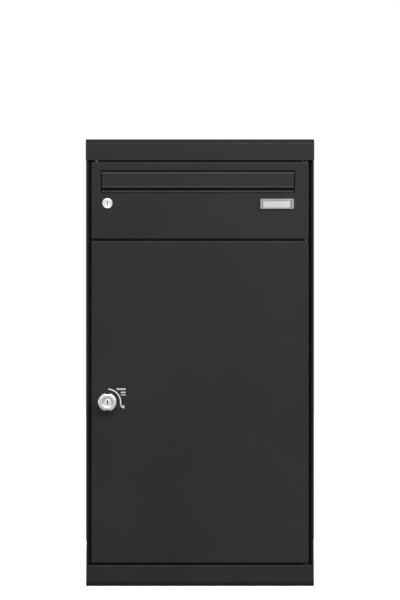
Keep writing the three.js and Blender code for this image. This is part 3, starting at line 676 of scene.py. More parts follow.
def make_doors():
    """The two door pans, with their holes for hinges, locks and the letter slot."""
    holes = [hinge_hole(parcel_lo.z), hinge_hole(parcel_hi.z), through_hole(knob, 9.3 * MM)]
    door_pan("parcel_door_skin", "parcel_door_panel", "parcel_door", holes)
    frame_lo, frame_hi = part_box("slot_frame")
    slot_lo = Vector((frame_lo.x + SHEET, FRONT - 3 * MM, frame_lo.z + 6 * MM))
    slot_hi = Vector((frame_hi.x - SHEET, FRONT + 3 * MM, frame_hi.z - 9.5 * MM))
    slot = box_mesh(slot_lo, slot_hi)
    round_edges(slot, edges_along_y(slot), 0.8 * MM, 3)
    holes = [hinge_hole(letter_lo.z), hinge_hole(letter_hi.z), through_hole(letter_lock, 8.3 * MM), slot]
    door_pan("letter_door_skin", "letter_door_panel", "letter_door", holes)


def make_roof():
    """The roof cap: a front bevel, rounded bends and skirts all round, open below."""
    rise, run = 6 * MM, 30 * MM
    outline = [
        (roof_lo.y, roof_lo.z),
        (roof_lo.y, roof_hi.z - rise),
        (roof_lo.y + run, roof_hi.z),
        (roof_hi.y, roof_hi.z),
        (roof_hi.y, roof_lo.z),
    ]
    bm = outline_mesh(outline, "x", roof_lo.x, roof_hi.x)
    upright = [e for e in bm.edges if abs((e.verts[0].co - e.verts[1].co).z) > 20 * MM]
    round_edges(bm, upright, 1.6 * MM, 3)
    above = roof_lo.z + 20 * MM
    flat_turn = math.radians(8)
    top = [e for e in bm.edges if min(v.co.z for v in e.verts) > above and e.calc_face_angle(0) > flat_turn]
    round_edges(bm, top, 1.8 * MM, 6, clamp=True)
    below = [f for f in bm.faces if f.normal.z < -0.9]
    bmesh.ops.delete(bm, geom=below, context="FACES")
    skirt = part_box("top_tray")[0].z + 0.2 * MM
    low = (roof_lo.x - MM, roof_lo.y + ROOF_SHEET + 0.05 * MM, roof_lo.z - 66 * MM)
    lift = box_mesh(low, (roof_hi.x + MM, roof_hi.y + MM, skirt))
    cover = combine(bm, cutters=[lift], thickness=ROOF_SHEET)
    bevel(piece_from("roof_cap", cover, DARK_COAT, "case", ["roof_cover"]), 0.15 * MM)


def make_roof_posts():
    """The two posts under the roof that its screws turn into."""
    for i in (1, 2):
        low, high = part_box(f"roof_screw_{i}")
        spot = Vector(((low.x + high.x) / 2, (low.y + high.y) / 2, 0))
        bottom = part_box("top_tray")[0].z + SHEET + 0.3 * MM
        top_z = roof_hi.z - ROOF_SHEET - 0.05 * MM
        profile = [
            (2.3 * MM, bottom),
            (4.4 * MM, bottom),
            (5 * MM, bottom + 0.6 * MM),
            (5 * MM, top_z - MM),
            (6 * MM, top_z),
            (0, top_z),
            (0, high.z + 0.5 * MM),
            (2.3 * MM, high.z + 0.5 * MM),
        ]
        post = turned_mesh(profile, spot, "z", 32)
        piece_from(f"roof_post_{i}", post, ZINC, "case")


STRIP_WIDTH = 3.6 * MM  # folded front edge of a side panel
HEM_DEPTH = 9 * MM
FLANGE_START = 22.5 * MM  # the top flange of a side panel starts this far behind the front
PANEL_TOP = 8 * MM  # height of the piece that carries the flange


def side_front(side, outer):
    """The folded section of a side panel, hemmed in at its front edge."""
    strip = outer - STRIP_WIDTH + SHEET
    path = [
        (side * strip, FRONT + HEM_DEPTH),
        (side * strip, FRONT + SHEET / 2),
        (side * outer, FRONT + SHEET / 2),
        (side * outer, BACK),
    ]
    return folded_outline(path, SHEET, 0.95 * MM)


def make_side_panels():
    """Side panels with a hemmed front edge and a top flange."""
    for side, word in ((-1, "left"), (1, "right")):
        node = word + "_side_panel"
        low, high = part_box(node)
        outer = (high.x if side > 0 else -low.x) - SHEET / 2
        section = side_front(side, outer)
        wall = outline_mesh(section, "z", low.z, high.z - 2 * MM)
        flange_path = [
            (side * (outer - 12.7 * MM), high.z - SHEET / 2),
            (side * outer, high.z - SHEET / 2),
            (side * outer, high.z - PANEL_TOP),
        ]
        bend = folded_outline(flange_path, SHEET, 1.6 * MM)
        flange = outline_mesh(bend, "y", FRONT + FLANGE_START, BACK - 1.8 * MM)
        front_end = outline_mesh(section, "z", high.z - PANEL_TOP, high.z)
        trim_low = (-1, FRONT + FLANGE_START - 0.1 * MM, high.z - PANEL_TOP - MM)
        front_end = combine(front_end, cutters=[box_mesh(trim_low, (1, BACK + MM, high.z + MM))])
        panel = combine(wall, joined=[flange, front_end])
        bevel(piece_from(word + "_side_skin", panel, DARK_COAT, "case", [node]), 0.15 * MM)


CREST_WIDTH = 0.7  # millimetres, at the front of a stile's fold
OUTER_LEG = 12.5 * MM  # the leg on the side panel starts this far behind the front


def make_stiles():
    """Upright folds beside the doors: a leg behind the door, then a slant forward to a crest.

    slant is (across, behind the front) in millimetres. The right one leaves room for the door's edge to turn.
    """
    for side, word, slant in (
        (-1, "left", ((196.6, 12.0), (197.0, 9.4), (200.0, 4.6))),
        (1, "right", ((196.6, 14.2), (198.9, 9.4), (200.0, 4.6))),
    ):
        node = word + "_stile"
        low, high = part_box(node)
        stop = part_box("floor_stop")[0].y
        leg_in, leg_out = sorted((abs(low.x), abs(high.x)))
        outline = [(leg_in, high.y), (leg_in, stop), (slant[0][0] * MM, stop)]
        outline += [(x * MM, FRONT + depth * MM) for x, depth in slant]
        crest = slant[-1]
        outline += [
            ((crest[0] + CREST_WIDTH) * MM, FRONT + crest[1] * MM),
            ((crest[0] + CREST_WIDTH) * MM, stop),
            (leg_out - SHEET, stop),
            (leg_out - SHEET, FRONT + OUTER_LEG),
            (leg_out, FRONT + OUTER_LEG),
            (leg_out, high.y),
        ]
        bar = outline_mesh([(side * x, y) for x, y in outline], "z", low.z, high.z)
        if side > 0:
            plate_lo, plate_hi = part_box("hinge_plate_middle")
            room = 0.4 * MM
            near = (leg_in - MM, FRONT + 12 * MM, plate_lo.z - room)
            far = (slant[0][0] * MM + 0.15 * MM, high.y + MM, plate_hi.z + room)
            bar = combine(bar, cutters=[box_mesh(near, far)])
        piece_from(word + "_stile_fold", bar, DARK_COAT, "case", [node])


TOE_HEIGHT, TOE_RUN = 8 * MM, 4 * MM  # the slanted foot of the front rail
RAIL_BEND = 1.6 * MM
RAIL_NOTCH = 1.8 * MM  # where the end of one rail makes room for the next


def plinth_rail(word, rail, cutters):
    rail = combine(rail, cutters=cutters)
    piece = piece_from(f"plinth_{word}_rail", rail, PLINTH_COAT, "case", ["plinth_" + word])
    bevel(piece, 0.2 * MM)


def make_plinth():
    """Four folded rails; the front one slants in at its foot."""
    make_plinth_front()
    make_plinth_rear()
    for side, word in ((-1, "left"), (1, "right")):
        make_plinth_side(side, word)


def make_plinth_front():
    top, mid = plinth_hi.z, SHEET / 2
    path = [
        (FRONT + TOE_RUN + 22 * MM, mid),
        (FRONT + TOE_RUN + mid, mid),
        (FRONT + mid, TOE_HEIGHT),
        (FRONT + mid, top - mid),
        (plinth_hi.y, top - mid),
    ]
    rail = outline_mesh(folded_outline(path, SHEET, RAIL_BEND), "x", plinth_lo.x, plinth_hi.x)
    well_behind = FRONT + 60 * MM
    behind = [
        (FRONT + SHEET + 0.05 * MM, top + MM),
        (FRONT + SHEET + 0.05 * MM, TOE_HEIGHT + 0.3 * MM),
        (FRONT + TOE_RUN + SHEET + 0.3 * MM, -MM),
        (well_behind, -MM),
        (well_behind, top + MM),
    ]
    cutters = [
        outline_mesh(behind, "x", plinth_lo.x - MM, plinth_lo.x + RAIL_NOTCH),
        outline_mesh(behind, "x", plinth_hi.x - RAIL_NOTCH, plinth_hi.x + MM),
    ]
    plinth_rail("front", rail, cutters)


def make_plinth_rear():
    low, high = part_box("plinth_rear")
    top, mid = plinth_hi.z, SHEET / 2
    path = [(low.y, mid), (high.y - mid, mid), (high.y - mid, top - mid), (low.y, top - mid)]
    rail = outline_mesh(folded_outline(path, SHEET, RAIL_BEND), "x", low.x, high.x)
    cutters = []
    for end in (low.x, high.x):
        far = (end + RAIL_NOTCH, high.y - SHEET - 0.05 * MM, top + MM)
        cutters.append(box_mesh((end - RAIL_NOTCH, low.y - MM, -MM), far))
    plinth_rail("rear", rail, cutters)


def make_plinth_side(side, word):
    low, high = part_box("plinth_" + word)
    top, mid = plinth_hi.z, SHEET / 2
    outer = (high.x if side > 0 else -low.x) - mid
    inner = outer - (high.x - low.x) + mid
    path = [(side * x, z) for x, z in ((inner, mid), (outer, mid), (outer, top - mid), (inner, top - mid))]
    rail = outline_mesh(folded_outline(path, SHEET, RAIL_BEND), "y", low.y, high.y)
    wall = side * (outer - mid - 0.05 * MM)
    inside = side * (inner - 2 * MM)
    across = (min(wall, inside), max(wall, inside))
    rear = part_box("plinth_rear")[0].y
    toe = [
        (low.y - MM, -MM),
        (FRONT + TOE_RUN + SHEET + 0.4 * MM, -MM),
        (FRONT + SHEET + 0.3 * MM, TOE_HEIGHT),
        (low.y - MM, TOE_HEIGHT),
    ]
    cutters = [
        box_mesh((across[0], low.y - MM, -MM), (across[1], plinth_hi.y + 0.3 * MM, top + MM)),
        box_mesh((across[0], rear - 0.3 * MM, -MM), (across[1], high.y + MM, top + MM)),
        outline_mesh(toe, "x", low.x - MM, high.x + MM),
    ]
    plinth_rail(word, rail, cutters)


def make_flap():
    """The letter flap: a plate that rolls over into a hollow barrel at the top and a small grip below."""
    radius = pivot.y - FRONT
    front, back = FRONT, FRONT + 2 * MM
    bottom = flap_lo.z
    steps = 26
    roll = arc((pivot.y, pivot.z), radius, 180, -120, steps)
    inner = arc((pivot.y, pivot.z), radius - 0.9 * MM, -120, 170, steps)
    outline = spots_from(back, bottom, [(-0.5, 0.4), (-0.9, 0)])
    grip_spots = [(-0.2, 0), (-0.45, 0.35), (-0.45, 1.3), (-0.3, 2.1), (-0.08, 3.2), (0, 4.4)]
    outline += spots_from(front, bottom, grip_spots)
    outline += [*roll, *inner, (back, pivot.z - 1.2 * MM)]
    outline += spots_from(back, bottom, [(0, 4.4), (-0.2, 2.6)])
    bm = outline_mesh(outline, "x", flap_lo.x, flap_hi.x)
    piece = piece_from("letter_flap_plate", bm, DARK_COAT, "flap", ["letter_flap"])
    return bevel(piece, 0.15 * MM)


def sill_mesh(bottom, plate_back, rear):
    """The sill: a nose that stands out below the flap, and a slope that rises behind it."""
    d, z = FRONT, bottom + 0.35 * MM
    slope = z + 2.3 * MM
    nose = [(-1.3, 0.75), (-1.75, 0.85), (-1.9, 1.1), (-1.25, 2.45), (-0.9, 2.6)]
    upper = [(0.35, 0.35), (1.5, 1.3), (2.6, 2.5), (3.8, 3.2), (6.0, 3.6)]
    outline = spots_from(d, z, nose) + spots_from(d, slope, upper)
    outline += [(rear, slope + 4.3 * MM), (rear, slope + 2.9 * MM)]
    outline += spots_from(d, slope, [(6.0, 2.2), (4.4, 1.6)])
    outline += [(plate_back, z + 1.4 * MM), (plate_back, z - 0.2 * MM), (d + 0.9 * MM, z + 0.2 * MM)]
    return outline_mesh(outline, "x", flap_lo.x, flap_hi.x)


def make_slot_frame():
    """The frame behind the slot: cheeks that hold the rod, and a sill that stands out below the flap."""
    low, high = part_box("slot_frame")
    front, back = FRONT + 1.8 * MM, FRONT + 3.3 * MM
    bottom, top = low.z + 6 * MM, high.z - 10.5 * MM
    plate = rounded_box((low.x, front, low.z), (high.x, back, high.z), 1.2 * MM, 0)
    opening = box_mesh((low.x + SHEET, front - MM, bottom + 1.2 * MM), (high.x - SHEET, back + MM, top))
    frame_plate = combine(plate, cutters=[opening])
    sill = sill_mesh(bottom, back, high.y)
    cheeks = []
    for x in (low.x, high.x - SHEET):
        cheeks.append(box_mesh((x, front + 0.2 * MM, bottom), (x + SHEET, high.y, top)))
    radius = 1.95 * MM
    start, end = low.x - MM, high.x + MM
    bore = turned_mesh([(0, start), (radius, start), (radius, end), (0, end)], (0, pivot.y, pivot.z), "x", 24)
    whole = combine(frame_plate, joined=[sill, *cheeks], cutters=[bore])
    piece = piece_from("slot_surround", whole, DARK_COAT, "letter_door", ["slot_frame"])
    bevel(piece, 0.15 * MM)


def make_name_plate():
    """A moulded holder with rounded corners and a grooved block at each end, and its window."""
    low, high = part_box("name_plate_frame")
    middle = (low + high) / 2
    holder = rounded_box(low, high, 1.7 * MM, 0.45 * MM)
    half = Vector((25.2 * MM, 0, 6.4 * MM))
    near = Vector((middle.x, low.y - MM, middle.z)) - half
    view = rounded_box(near, Vector((middle.x, high.y + MM, middle.z)) + half, MM, 0)
    pane_lo, pane_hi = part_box("name_plate_cover")
    gap = Vector((0.25 * MM, 0, 0.25 * MM))
    pocket = box_mesh(pane_lo - gap - Vector((0, 0.2 * MM, 0)), pane_hi + gap + Vector((0, 5 * MM, 0)))
    groove_half, groove_depth, groove_reach = 0.3 * MM, 0.7 * MM, 7.0 * MM
    grooves = []
    for side in (-1, 1):
        for inset in (2.9, 4.1):
            x = middle.x + side * (30 - inset) * MM
            corner = (x - groove_half, low.y - MM, middle.z - groove_reach)
            grooves.append(box_mesh(corner, (x + groove_half, low.y + groove_depth, middle.z + groove_reach)))
    holder = combine(holder, cutters=[view, pocket, *grooves])
    piece = piece_from("name_holder", holder, PLATE_GREY, "letter_door", ["name_plate_frame"])
    bevel(piece, 0.2 * MM)
    pane = rounded_box(pane_lo, pane_hi, 0.5 * MM, 0.15 * MM)
    window = piece_from("name_window", pane, CLEAR, "letter_door", ["name_plate_cover"])
    window.visible_shadow = False  # so the card behind it is evenly lit
    window.visible_diffuse = False


def make_keyway_shade():
    """Painted shade: a dark block deep in each keyway stands in for the shade inside it."""
    for name, spot, node, body, size in (
        ("letter_keyway_shade", letter_lock, "letter_lock_plug", "letter_lock", (1.7, 7.5)),
        ("parcel_keyway_shade", knob, "parcel_key_plug", "key_plug", (2.1, 8.2)),
    ):
        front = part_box(node)[0].y + 0.9 * MM
        half_x, half_z = size[0] / 2 * MM, size[1] / 2 * MM
        shade_block = box_about(spot, half_x, half_z, front, front + 4 * MM)
        # a black block that paints the shade inside the keyway
        piece_from(name, shade_block, BLACK_PLASTIC, body)


def ring_mesh(low, high, profile, corner):
    """A closed ring of one section round a rectangle in the front plane, with rounded corners.

    profile is (inset from the outer edge, y).
    """
    bm = bmesh.new()
    loops = []
    for inset, y in profile:
        reach = max(corner - inset, 0.2 * MM)
        loop = []
        for cx, cz, start in (
            (high.x - inset - reach, high.z - inset - reach, 0),
            (low.x + inset + reach, high.z - inset - reach, 90),
            (low.x + inset + reach, low.z + inset + reach, 180),
            (high.x - inset - reach, low.z + inset + reach, 270),
        ):
            for x, z in arc((cx, cz), reach, start, start + 90, 5):
                loop.append(bm.verts.new((x, y, z)))
        loops.append(loop)
    count = len(loops[0])
    for a, b in zip(loops, loops[1:] + loops[:1]):
        for k in range(count):
            bm.faces.new((a[k], a[(k + 1) % count], b[(k + 1) % count], b[k]))
    bmesh.ops.recalc_face_normals(bm, faces=bm.faces)
    return bm


def make_seals():
    """Bulb seals: a flat foot on the door and a round bulb that meets the stops."""
    for word, body in (("letter", "letter_door"), ("parcel", "parcel_door")):
        node = word + "_door_seal"
        low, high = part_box(node)
        foot, tip = low.y, high.y
        width = 5 * MM
        middle = width / 2
        bulb = min((tip - foot) / 2, middle)
        profile = [(0, foot), (width, foot), (width, foot + 0.7 * MM), (middle + 1.2 * MM, foot + 0.9 * MM)]
        for k in range(11):
            angle = math.radians(-40 + 260 * k / 10)
            profile.append((middle + 0.9 * bulb * math.cos(angle), tip - bulb + bulb * math.sin(angle)))
        profile += [(middle - 1.2 * MM, foot + 0.9 * MM), (0, foot + 0.7 * MM)]
        ring = ring_mesh(low, high, profile, 7 * MM)
        piece_from(word + "_bulb_seal", ring, RUBBER, body, [node], sharp=50)


# ------------------------------------------------------------------ locks and small fittings


def thread(radius, along, end, pitch=1.0, depth=0.4, crest=0.5):
    """The profile of a thread from along to end; radius, pitch, depth and crest are in millimetres."""
    profile = []
    while along < end:
        profile += profile_at([(radius, 0), (radius - depth, crest)], along)
        along += pitch * MM
    return profile


def make_letter_lock():
    """The letter lock: a threaded body with a flat rim, and the plug that turns in it."""
    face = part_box("letter_lock_housing")[0].y - FRONT
    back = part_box("letter_lock_housing")[1].y - FRONT
    axis = Vector((letter_lock.x, FRONT, letter_lock.z))
    rim = [(6.3, 0.35), (6.6, 0.1), (7.0, 0), (8.3, 0), (8.75, 0.12), (9.15, 0.45), (9.4, 0.95)]
    profile = profile_at(rim, face) + profile_at([(9.45, -0.6), (9.3, -0.3), (8.0, -0.3)])
    profile += thread(8.0, 6.5 * MM, back - 1.2 * MM)
    profile += profile_at([(8.0, -0.5), (7.5, 0), (6.3, 0)], back)
    bm = turned_mesh(profile, axis, "y", 72)
    node = "letter_lock_housing"
    piece_from("letter_lock_body", bm, TURNED, "letter_door", [node], sharp=28)
    make_letter_plug(axis)


def make_letter_plug(axis):
    plug_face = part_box("letter_lock_plug")[0].y - FRONT
    plug_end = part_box("letter_cam")[0].y - FRONT - 0.3 * MM
    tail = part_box("letter_lock_plug")[1].y - FRONT
    face = [(0, 0.25), (2.4, 0.22), (4.6, 0.08), (5.4, 0), (5.8, 0.08), (6.0, 0.35)]
    profile = profile_at(face, plug_face) + [(6.0 * MM, plug_end), (0, plug_end)]
    plug = turned_mesh(profile, axis, "y", 64)
    square = box_about(axis, 3 * MM, 3 * MM, FRONT + plug_end - MM, FRONT + tail)
    slot = box_about(letter_lock, 0.9 * MM, 3.8 * MM, FRONT + plug_face - MM, FRONT + plug_face + 6 * MM)
    ward = box_mesh(
        (axis.x - 1.7 * MM, FRONT + plug_face - MM, axis.z + 0.7 * MM),
        (axis.x + 0.2 * MM, FRONT + plug_face + 6 * MM, axis.z + 1.7 * MM),
    )
    plug = combine(plug, joined=[square], cutters=[slot, ward])
    node = "letter_lock_plug"
    core = piece_from("letter_lock_core", plug, TURNED, "letter_lock", [node], sharp=28)
    bevel(core, 0.12 * MM)


FACE_DEPTH = -13 * MM  # the knob's face and its chamfer lie in front of this
GRIP_START = 0.8  # share of the knob's radius where its grip begins


def grip(outer):
    """The knob's outline: notches above and below, and grip grooves on the four diagonals."""
    notch_half, notch_depth, ramp_width = 4.6 * MM, 2.2 * MM, 0.5 * MM
    first_groove, last_groove, groove_pitch, groove_width = 22, 80, 13, 5  # degrees from the notches
    groove_depth = 0.55 * MM

    def groove(angle):
        degrees = math.degrees(angle) % 180
        degrees = min(degrees, 180 - degrees)
        if not first_groove + 2 < degrees < last_groove:
            return 0
        across = abs((degrees - first_groove) % groove_pitch - groove_pitch / 2) / (groove_width / 2)
        return max(0, 1 - across**2) ** 0.5

    def shape(r, along, angle):
        if r < GRIP_START * outer:
            return r, along
        short = outer - r
        x = outer * abs(math.sin(angle))
        reach = outer
        if x < notch_half + ramp_width:
            flat = (outer - notch_depth) / abs(math.cos(angle))
            part = max(0, (x - notch_half) / ramp_width)
            reach = min(outer, flat + (outer - flat) * part)
        cut_in = groove_depth * groove(angle) * min(1, max(0, (r - GRIP_START * outer) / (0.1 * outer)))
        lower = cut_in * (1 if along < FACE_DEPTH else 0)
        return reach - short - 0.8 * cut_in, along + lower

    return shape


def make_parcel_lock():
    """The turning knob with its hollow, the key plug in it, and the collar behind it."""
    make_knob()
    make_key_plug()
    make_collar()


def make_knob():
    low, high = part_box("parcel_knob")
    face, back = low.y - FRONT, high.y - FRONT
    outer = (high.x - low.x) / 2
    axis = Vector((knob.x, FRONT, knob.z))
    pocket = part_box("parcel_key_plug")[1].y - FRONT + 0.3 * MM
    bore, rim, dish = 6.5 * MM, 10.4 * MM, 2.6 * MM
    profile = [(0, pocket), (bore, pocket), (bore, face + dish + 0.3 * MM)]
    for k in range(9):  # the hollow round the key plug
        turn = math.radians(90 * k / 8)
        reach = bore + 0.2 * MM + (rim - bore - 0.2 * MM) * math.sin(turn)
        profile.append((reach, face + dish * math.cos(turn) ** 0.8 + 0.02 * MM))
    profile.append((rim + 0.35 * MM, face))
    for inset, depth in ((3.2, 0), (2.2, 0), (1.5, 0.15), (0.7, 0.55), (0.2, 1.15), (0, 2.0)):
        profile.append((outer - inset * MM, face + depth * MM))
    for inset, depth in ((0, 1.2), (0.3, 0.4), (0.9, 0)):
        profile.append((outer - inset * MM, back - depth * MM))
    profile.append((0, back))
    bm = turned_mesh(profile, axis, "y", 360, grip(outer))
    piece_from("knob_grip", bm, SATIN, "knob", ["parcel_knob"], sharp=32)


def make_key_plug():
    low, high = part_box("parcel_key_plug")
    axis = Vector((knob.x, FRONT, knob.z))
    key_face = low.y - FRONT
    key_end = high.y - FRONT
    profile = profile_at([(0, 0.12), (4.4, 0.1), (5.3, 0), (5.9, 0.12), (6.2, 0.5)], key_face)
    profile += profile_at([(6.2, -0.3), (5.9, 0), (0, 0)], key_end)
    plug = turned_mesh(profile, axis, "y", 64)
    slot = box_about(knob, 1.1 * MM, 4.15 * MM, FRONT + key_face - MM, FRONT + key_face + 5.5 * MM)
    ward = box_mesh(
        (axis.x - 0.2 * MM, FRONT + key_face - MM, axis.z - 1.9 * MM),
        (axis.x + 1.9 * MM, FRONT + key_face + 5.5 * MM, axis.z - 0.8 * MM),
    )
    plug = combine(plug, cutters=[slot, ward])
    core = piece_from("key_core", plug, TURNED, "key_plug", ["parcel_key_plug"], sharp=28)
    bevel(core, 0.12 * MM)


def make_collar():
    """The collar in front of the door, and its threaded barrel behind."""
    low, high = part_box("parcel_lock_collar")
    axis = Vector((knob.x, FRONT, knob.z))
    front, end = low.y - FRONT, high.y - FRONT
    profile = profile_at([(6.7, 0.3), (7.0, 0), (12.9, 0), (13.6, 0.3), (14.0, 1.0)], front)
    profile += profile_at([(14.0, -0.3), (9.0, -0.3)])
    profile += thread(9.0, 6.5 * MM, 15.5 * MM)
    profile += profile_at([(9.0, 16.5), (8.7, 17.0), (7.6, 17.0)]) + profile_at([(7.6, 0), (6.7, 0)], end)
    bm = turned_mesh(profile, axis, "y", 72)
    piece_from("knob_collar", bm, SATIN, "parcel_door", ["parcel_lock_collar"], sharp=28)


def hexagon(flat):
    """Trims a turned piece to a hexagon with this half width across flats."""

    def shape(r, along, angle):
        if r < GRIP_START * flat:
            return r, along
        sector = (angle + math.radians(30)) % math.radians(60) - math.radians(30)
        return min(r, flat / math.cos(sector)), along

    return shape


def make_nuts():
    """The hexagonal nuts that hold the locks from behind."""
    for word, body, bore in (("letter", "letter_door", 8.1), ("parcel", "parcel_door", 9.1)):
        node = word + "_lock_nut"
        low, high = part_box(node)
        spot = letter_lock if word == "letter" else knob
        axis = Vector((spot.x, 0, spot.z))
        corner = (high.z - low.z) / 2
        flat = corner * math.cos(math.radians(30))
        profile = profile_at([(bore, 0.4), (bore + 0.4, 0)], low.y)
        profile += [(flat, low.y), (corner, low.y + 0.9 * MM), (corner, high.y - 0.9 * MM), (flat, high.y)]
        profile += profile_at([(bore + 0.4, 0), (bore, -0.4)], high.y)
        bm = turned_mesh(profile, axis, "y", 120, hexagon(flat))
        piece_from(word + "_hex_nut", bm, ZINC, body, [node], sharp=25)


def make_cams():
    """Stamped cams with a square hole, and their cross-head screws."""
    for word, body, spot in (("letter", "letter_lock", letter_lock), ("parcel", "knob", knob)):
        make_cam(word, body, spot)
        make_cam_screw(word, body, spot)


def make_cam(word, body, spot):
    low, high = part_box(word + "_cam")
    half = (high.x - low.x) / 2
    tip = 5 * MM
    end = low.z + tip
    outline = arc((spot.x, spot.z), half, 0, 180, 18)
    outline += arc((spot.x - half + tip, end), tip, 180, 270, 6)
    outline += arc((spot.x + half - tip, end), tip, 270, 360, 6)
    plate = outline_mesh(outline, "y", low.y, high.y)
    hole = 3.3 * MM
    plate = combine(plate, cutters=[box_about(spot, hole, hole, low.y - MM, high.y + MM)])
    cam = piece_from(word + "_cam_plate", plate, ZINC, body, [word + "_cam"])
    bevel(cam, 0.35 * MM, 3)


def make_cam_screw(word, body, spot):
    low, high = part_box(word + "_cam_screw")
    head = high.y - 2 * MM
    axis = Vector((spot.x, 0, spot.z))
    profile = profile_at([(0, 0), (1.6, 0), (1.9, 0.4)], low.y)
    profile += thread(2.0, low.y + MM, head - 0.8 * MM, pitch=0.6, depth=0.35, crest=0.3)
    profile += profile_at([(2.0, 0), (4.6, 0), (5.0, 0.35), (4.8, 0.9), (4.0, 1.5), (2.6, 1.9)], head)
    profile.append((0, high.y))
    screw = turned_mesh(profile, axis, "y", 48)
    arms = []
    for length, width in ((2.6, 0.5), (0.5, 2.6)):
        arms.append(box_about(axis, length * MM, width * MM, head + 0.7 * MM, high.y + MM))
    screw = combine(screw, cutters=arms)
    piece_from(word + "_cross_screw", screw, ZINC, body, [word + "_cam_screw"], sharp=30)


WIRE = 0.4 * MM  # radius of the spring's wire


def spring_path():
    """Points along the middle of the spring's wire, with a straight leg at each end."""
    low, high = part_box("flap_spring")
    turns, mean, leg = 8, 2.3 * MM, 1.9 * MM
    start, end = low.x + WIRE, high.x - WIRE
    steps = turns * 24
    path = [Vector((start, pivot.y + mean, pivot.z - leg))]
    for k in range(steps + 1):
        angle = TAU * turns * k / steps
        x = start + 0.6 * MM + (end - start - 1.2 * MM) * k / steps
        path.append(Vector((x, pivot.y + mean * math.cos(angle), pivot.z + mean * math.sin(angle))))
    path.append(Vector((end, pivot.y + mean, pivot.z + leg)))
    return path


def make_spring():
    """The flap's return spring, wound round its rod."""
    path = spring_path()
    bm = bmesh.new()
    rings = []
    sides = 10
    for i, point in enumerate(path):
        ahead = (path[min(i + 1, len(path) - 1)] - path[max(i - 1, 0)]).normalized()
        across = ahead.cross(Vector((1, 0, 0))).normalized()
        up = across.cross(ahead)
        ring = []
        for k in range(sides):
            angle = TAU * k / sides
            ring.append(bm.verts.new(point + across * WIRE * math.cos(angle) + up * WIRE * math.sin(angle)))
        rings.append(ring)
    for a, b in zip(rings, rings[1:]):
        for k in range(sides):
            bm.faces.new((a[k], a[(k + 1) % sides], b[(k + 1) % sides], b[k]))
    bm.faces.new(rings[0])
    bm.faces.new(rings[-1])
    piece_from("flap_coil", bm, ZINC, "letter_door", ["flap_spring"], sharp=60)


PRINT_Y = (FRONT - 0.07 * MM, FRONT - 0.02 * MM)
DASH_ROWS = (  # height of the row and of its dashes, and the dashes' widths from the right, in millimetres
    (22.2, 3.0, (2.6, 2.2, 2.9, 2.2, 2.2)),
    (16.5, 2.6, (2.2, 2.6, 2.0)),
    (12.4, 1.8, (2.6, 2.0, 2.0)),
)
DASH_RIGHT, DASH_GAP = 32.4 * MM, 0.9


def print_shape(name, spots):
    """A flat shape printed on the parcel door; its spots are in millimetres from the knob."""
    outline = [(knob.x + x * MM, knob.z + z * MM) for x, z in spots]
    piece_from(name, outline_mesh(outline, "y", *PRINT_Y), INK, "parcel_door")


def make_print():
    """The light print beside the knob: a curved arrow and three rows of plain dashes."""
    outer, inner = arc((0, 0), 24.75, 86, -2, 28), arc((0, 0), 22.65, -2, 86, 28)
    print_shape("print_arc", outer + inner)
    neck_right = [(26.9, -6.9), (25.5, -4.7), (24.85, -2.9)]
    neck_left = [(24.73, -0.95), (22.65, -0.85), (22.75, -3.2), (23.5, -5.4), (24.9, -7.6)]
    print_shape("print_neck", neck_left + neck_right)
    print_shape("print_head", [(22.6, -7.3), (29.3, -11.6), (31.0, -5.6), (26.6, -6.9)])
    for row, (height, tall, dashes) in enumerate(DASH_ROWS):
        x = knob.x + DASH_RIGHT
        for k, width in enumerate(dashes):
            low = (x - width * MM, PRINT_Y[0], knob.z + height * MM)
            high = (x, PRINT_Y[1], knob.z + (height + tall) * MM)
            piece_from(f"print_dash_{row}_{k}", box_mesh(low, high), INK, "parcel_door")
            x -= (width + DASH_GAP) * MM


def make_hinges():
    """Pins, the rivets that hold their plates, and the bushes they turn in."""
    for word in ("top", "middle", "bottom"):
        make_pin(word)
        make_rivets(word)
    for door in ("letter", "parcel"):
        for end in ("top", "bottom"):
            soften_node(f"{door}_bush_{end}", BLACK_PLASTIC, 0.2 * MM)


def make_pin(word):
    low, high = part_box("hinge_pin_" + word)
    radius = 2 * MM
    profile = [
        (0, low.z),
        (radius - 0.7 * MM, low.z),
        (radius, low.z + 0.9 * MM),
        (radius, high.z - 0.3 * MM),
        (radius - 0.3 * MM, high.z),
        (0, high.z),
    ]
    pin = turned_mesh(profile, Vector((hinge.x, hinge.y, 0)), "z", 32)
    piece_from("pivot_pin_" + word, pin, ZINC, "case", ["hinge_pin_" + word])


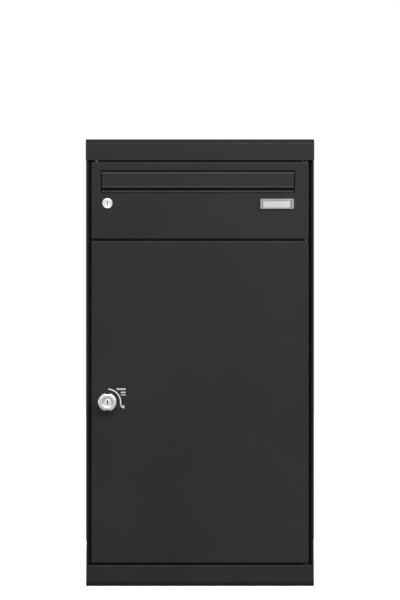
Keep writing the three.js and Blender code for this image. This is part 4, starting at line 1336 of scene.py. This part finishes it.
def make_rivets(word):
    low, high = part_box("hinge_plate_" + word)
    for k, share in enumerate((0.55, 0.85)):
        y = low.y + share * (high.y - low.y)
        spot = Vector(((low.x + high.x) / 2, y, high.z))
        head = profile_at([(0, 0), (2.2, 0), (2.1, 0.25), (1.4, 0.5), (0, 0.6)])
        if word == "top":
            spot.z = low.z
            head = [(radius, -z) for radius, z in head]
        rivet = turned_mesh(head, spot, "z", 24)
        piece_from(f"rivet_{word}_{k}", rivet, ZINC, "case")


# ------------------------------------------------------------------ everything else keeps its CAD shape


def finish_nodes():
    """The nodes whose CAD shape is right, with softened edges and their finish."""
    coated = (
        "top_tray rear_panel floor_panel divider_shelf mid_rail header_rail mail_retainer letter_guide "
        "parcel_door_liner floor_stop hinge_plate_top hinge_plate_middle hinge_plate_bottom flap_rod"
    )
    for name in coated.split():
        soften_node(name, DARK_COAT, 0.3 * MM)
    for name in "letter_strike parcel_strike roof_screw_1 roof_screw_2 parcel_spindle".split():
        soften_node(name, ZINC, 0.25 * MM)
    for i in range(1, 5):
        soften_node(f"wall_plug_{i}", BLACK_PLASTIC, 0.25 * MM)
    soften_node("name_card", CARD, 0.05 * MM)


# ------------------------------------------------------------------ the scene

bpy.context.scene.view_settings.view_transform = "Standard"
make_camera()
make_world()
make_floor()
soft_light("key", (0.95, -1.1, 1.3), (0, -0.18, 0.45), (0.5, 0.5), 17.5, glossy=False)
soft_light("front_fill", (0, -7, 0.6), (0, 0, 0.45), (1.2, 1.2), 230, glossy=False)
soft_light("edge_light", (0.2, -2.6, 2.8), (0, -0.18, 0.6), (2.2, 0.5), 160, diffuse=False)
soft_light("left_side", (-3.2, 0.5, 0.9), (0, 0, 0.4), (1.4, 1.8), 45)
soft_light("right_side", (3.2, 0.7, 0.9), (0, 0, 0.4), (1.4, 1.8), 55)
soft_light("rear", (-0.6, 3.4, 1.0), (0, 0, 0.4), (1.8, 1.8), 70, glossy=False)

make_doors()
make_roof()
make_roof_posts()
make_side_panels()
make_stiles()
make_plinth()
make_flap()
make_slot_frame()
make_name_plate()
make_keyway_shade()
make_seals()
make_letter_lock()
make_parcel_lock()
make_nuts()
make_cams()
make_spring()
make_print()
make_hinges()
finish_nodes()
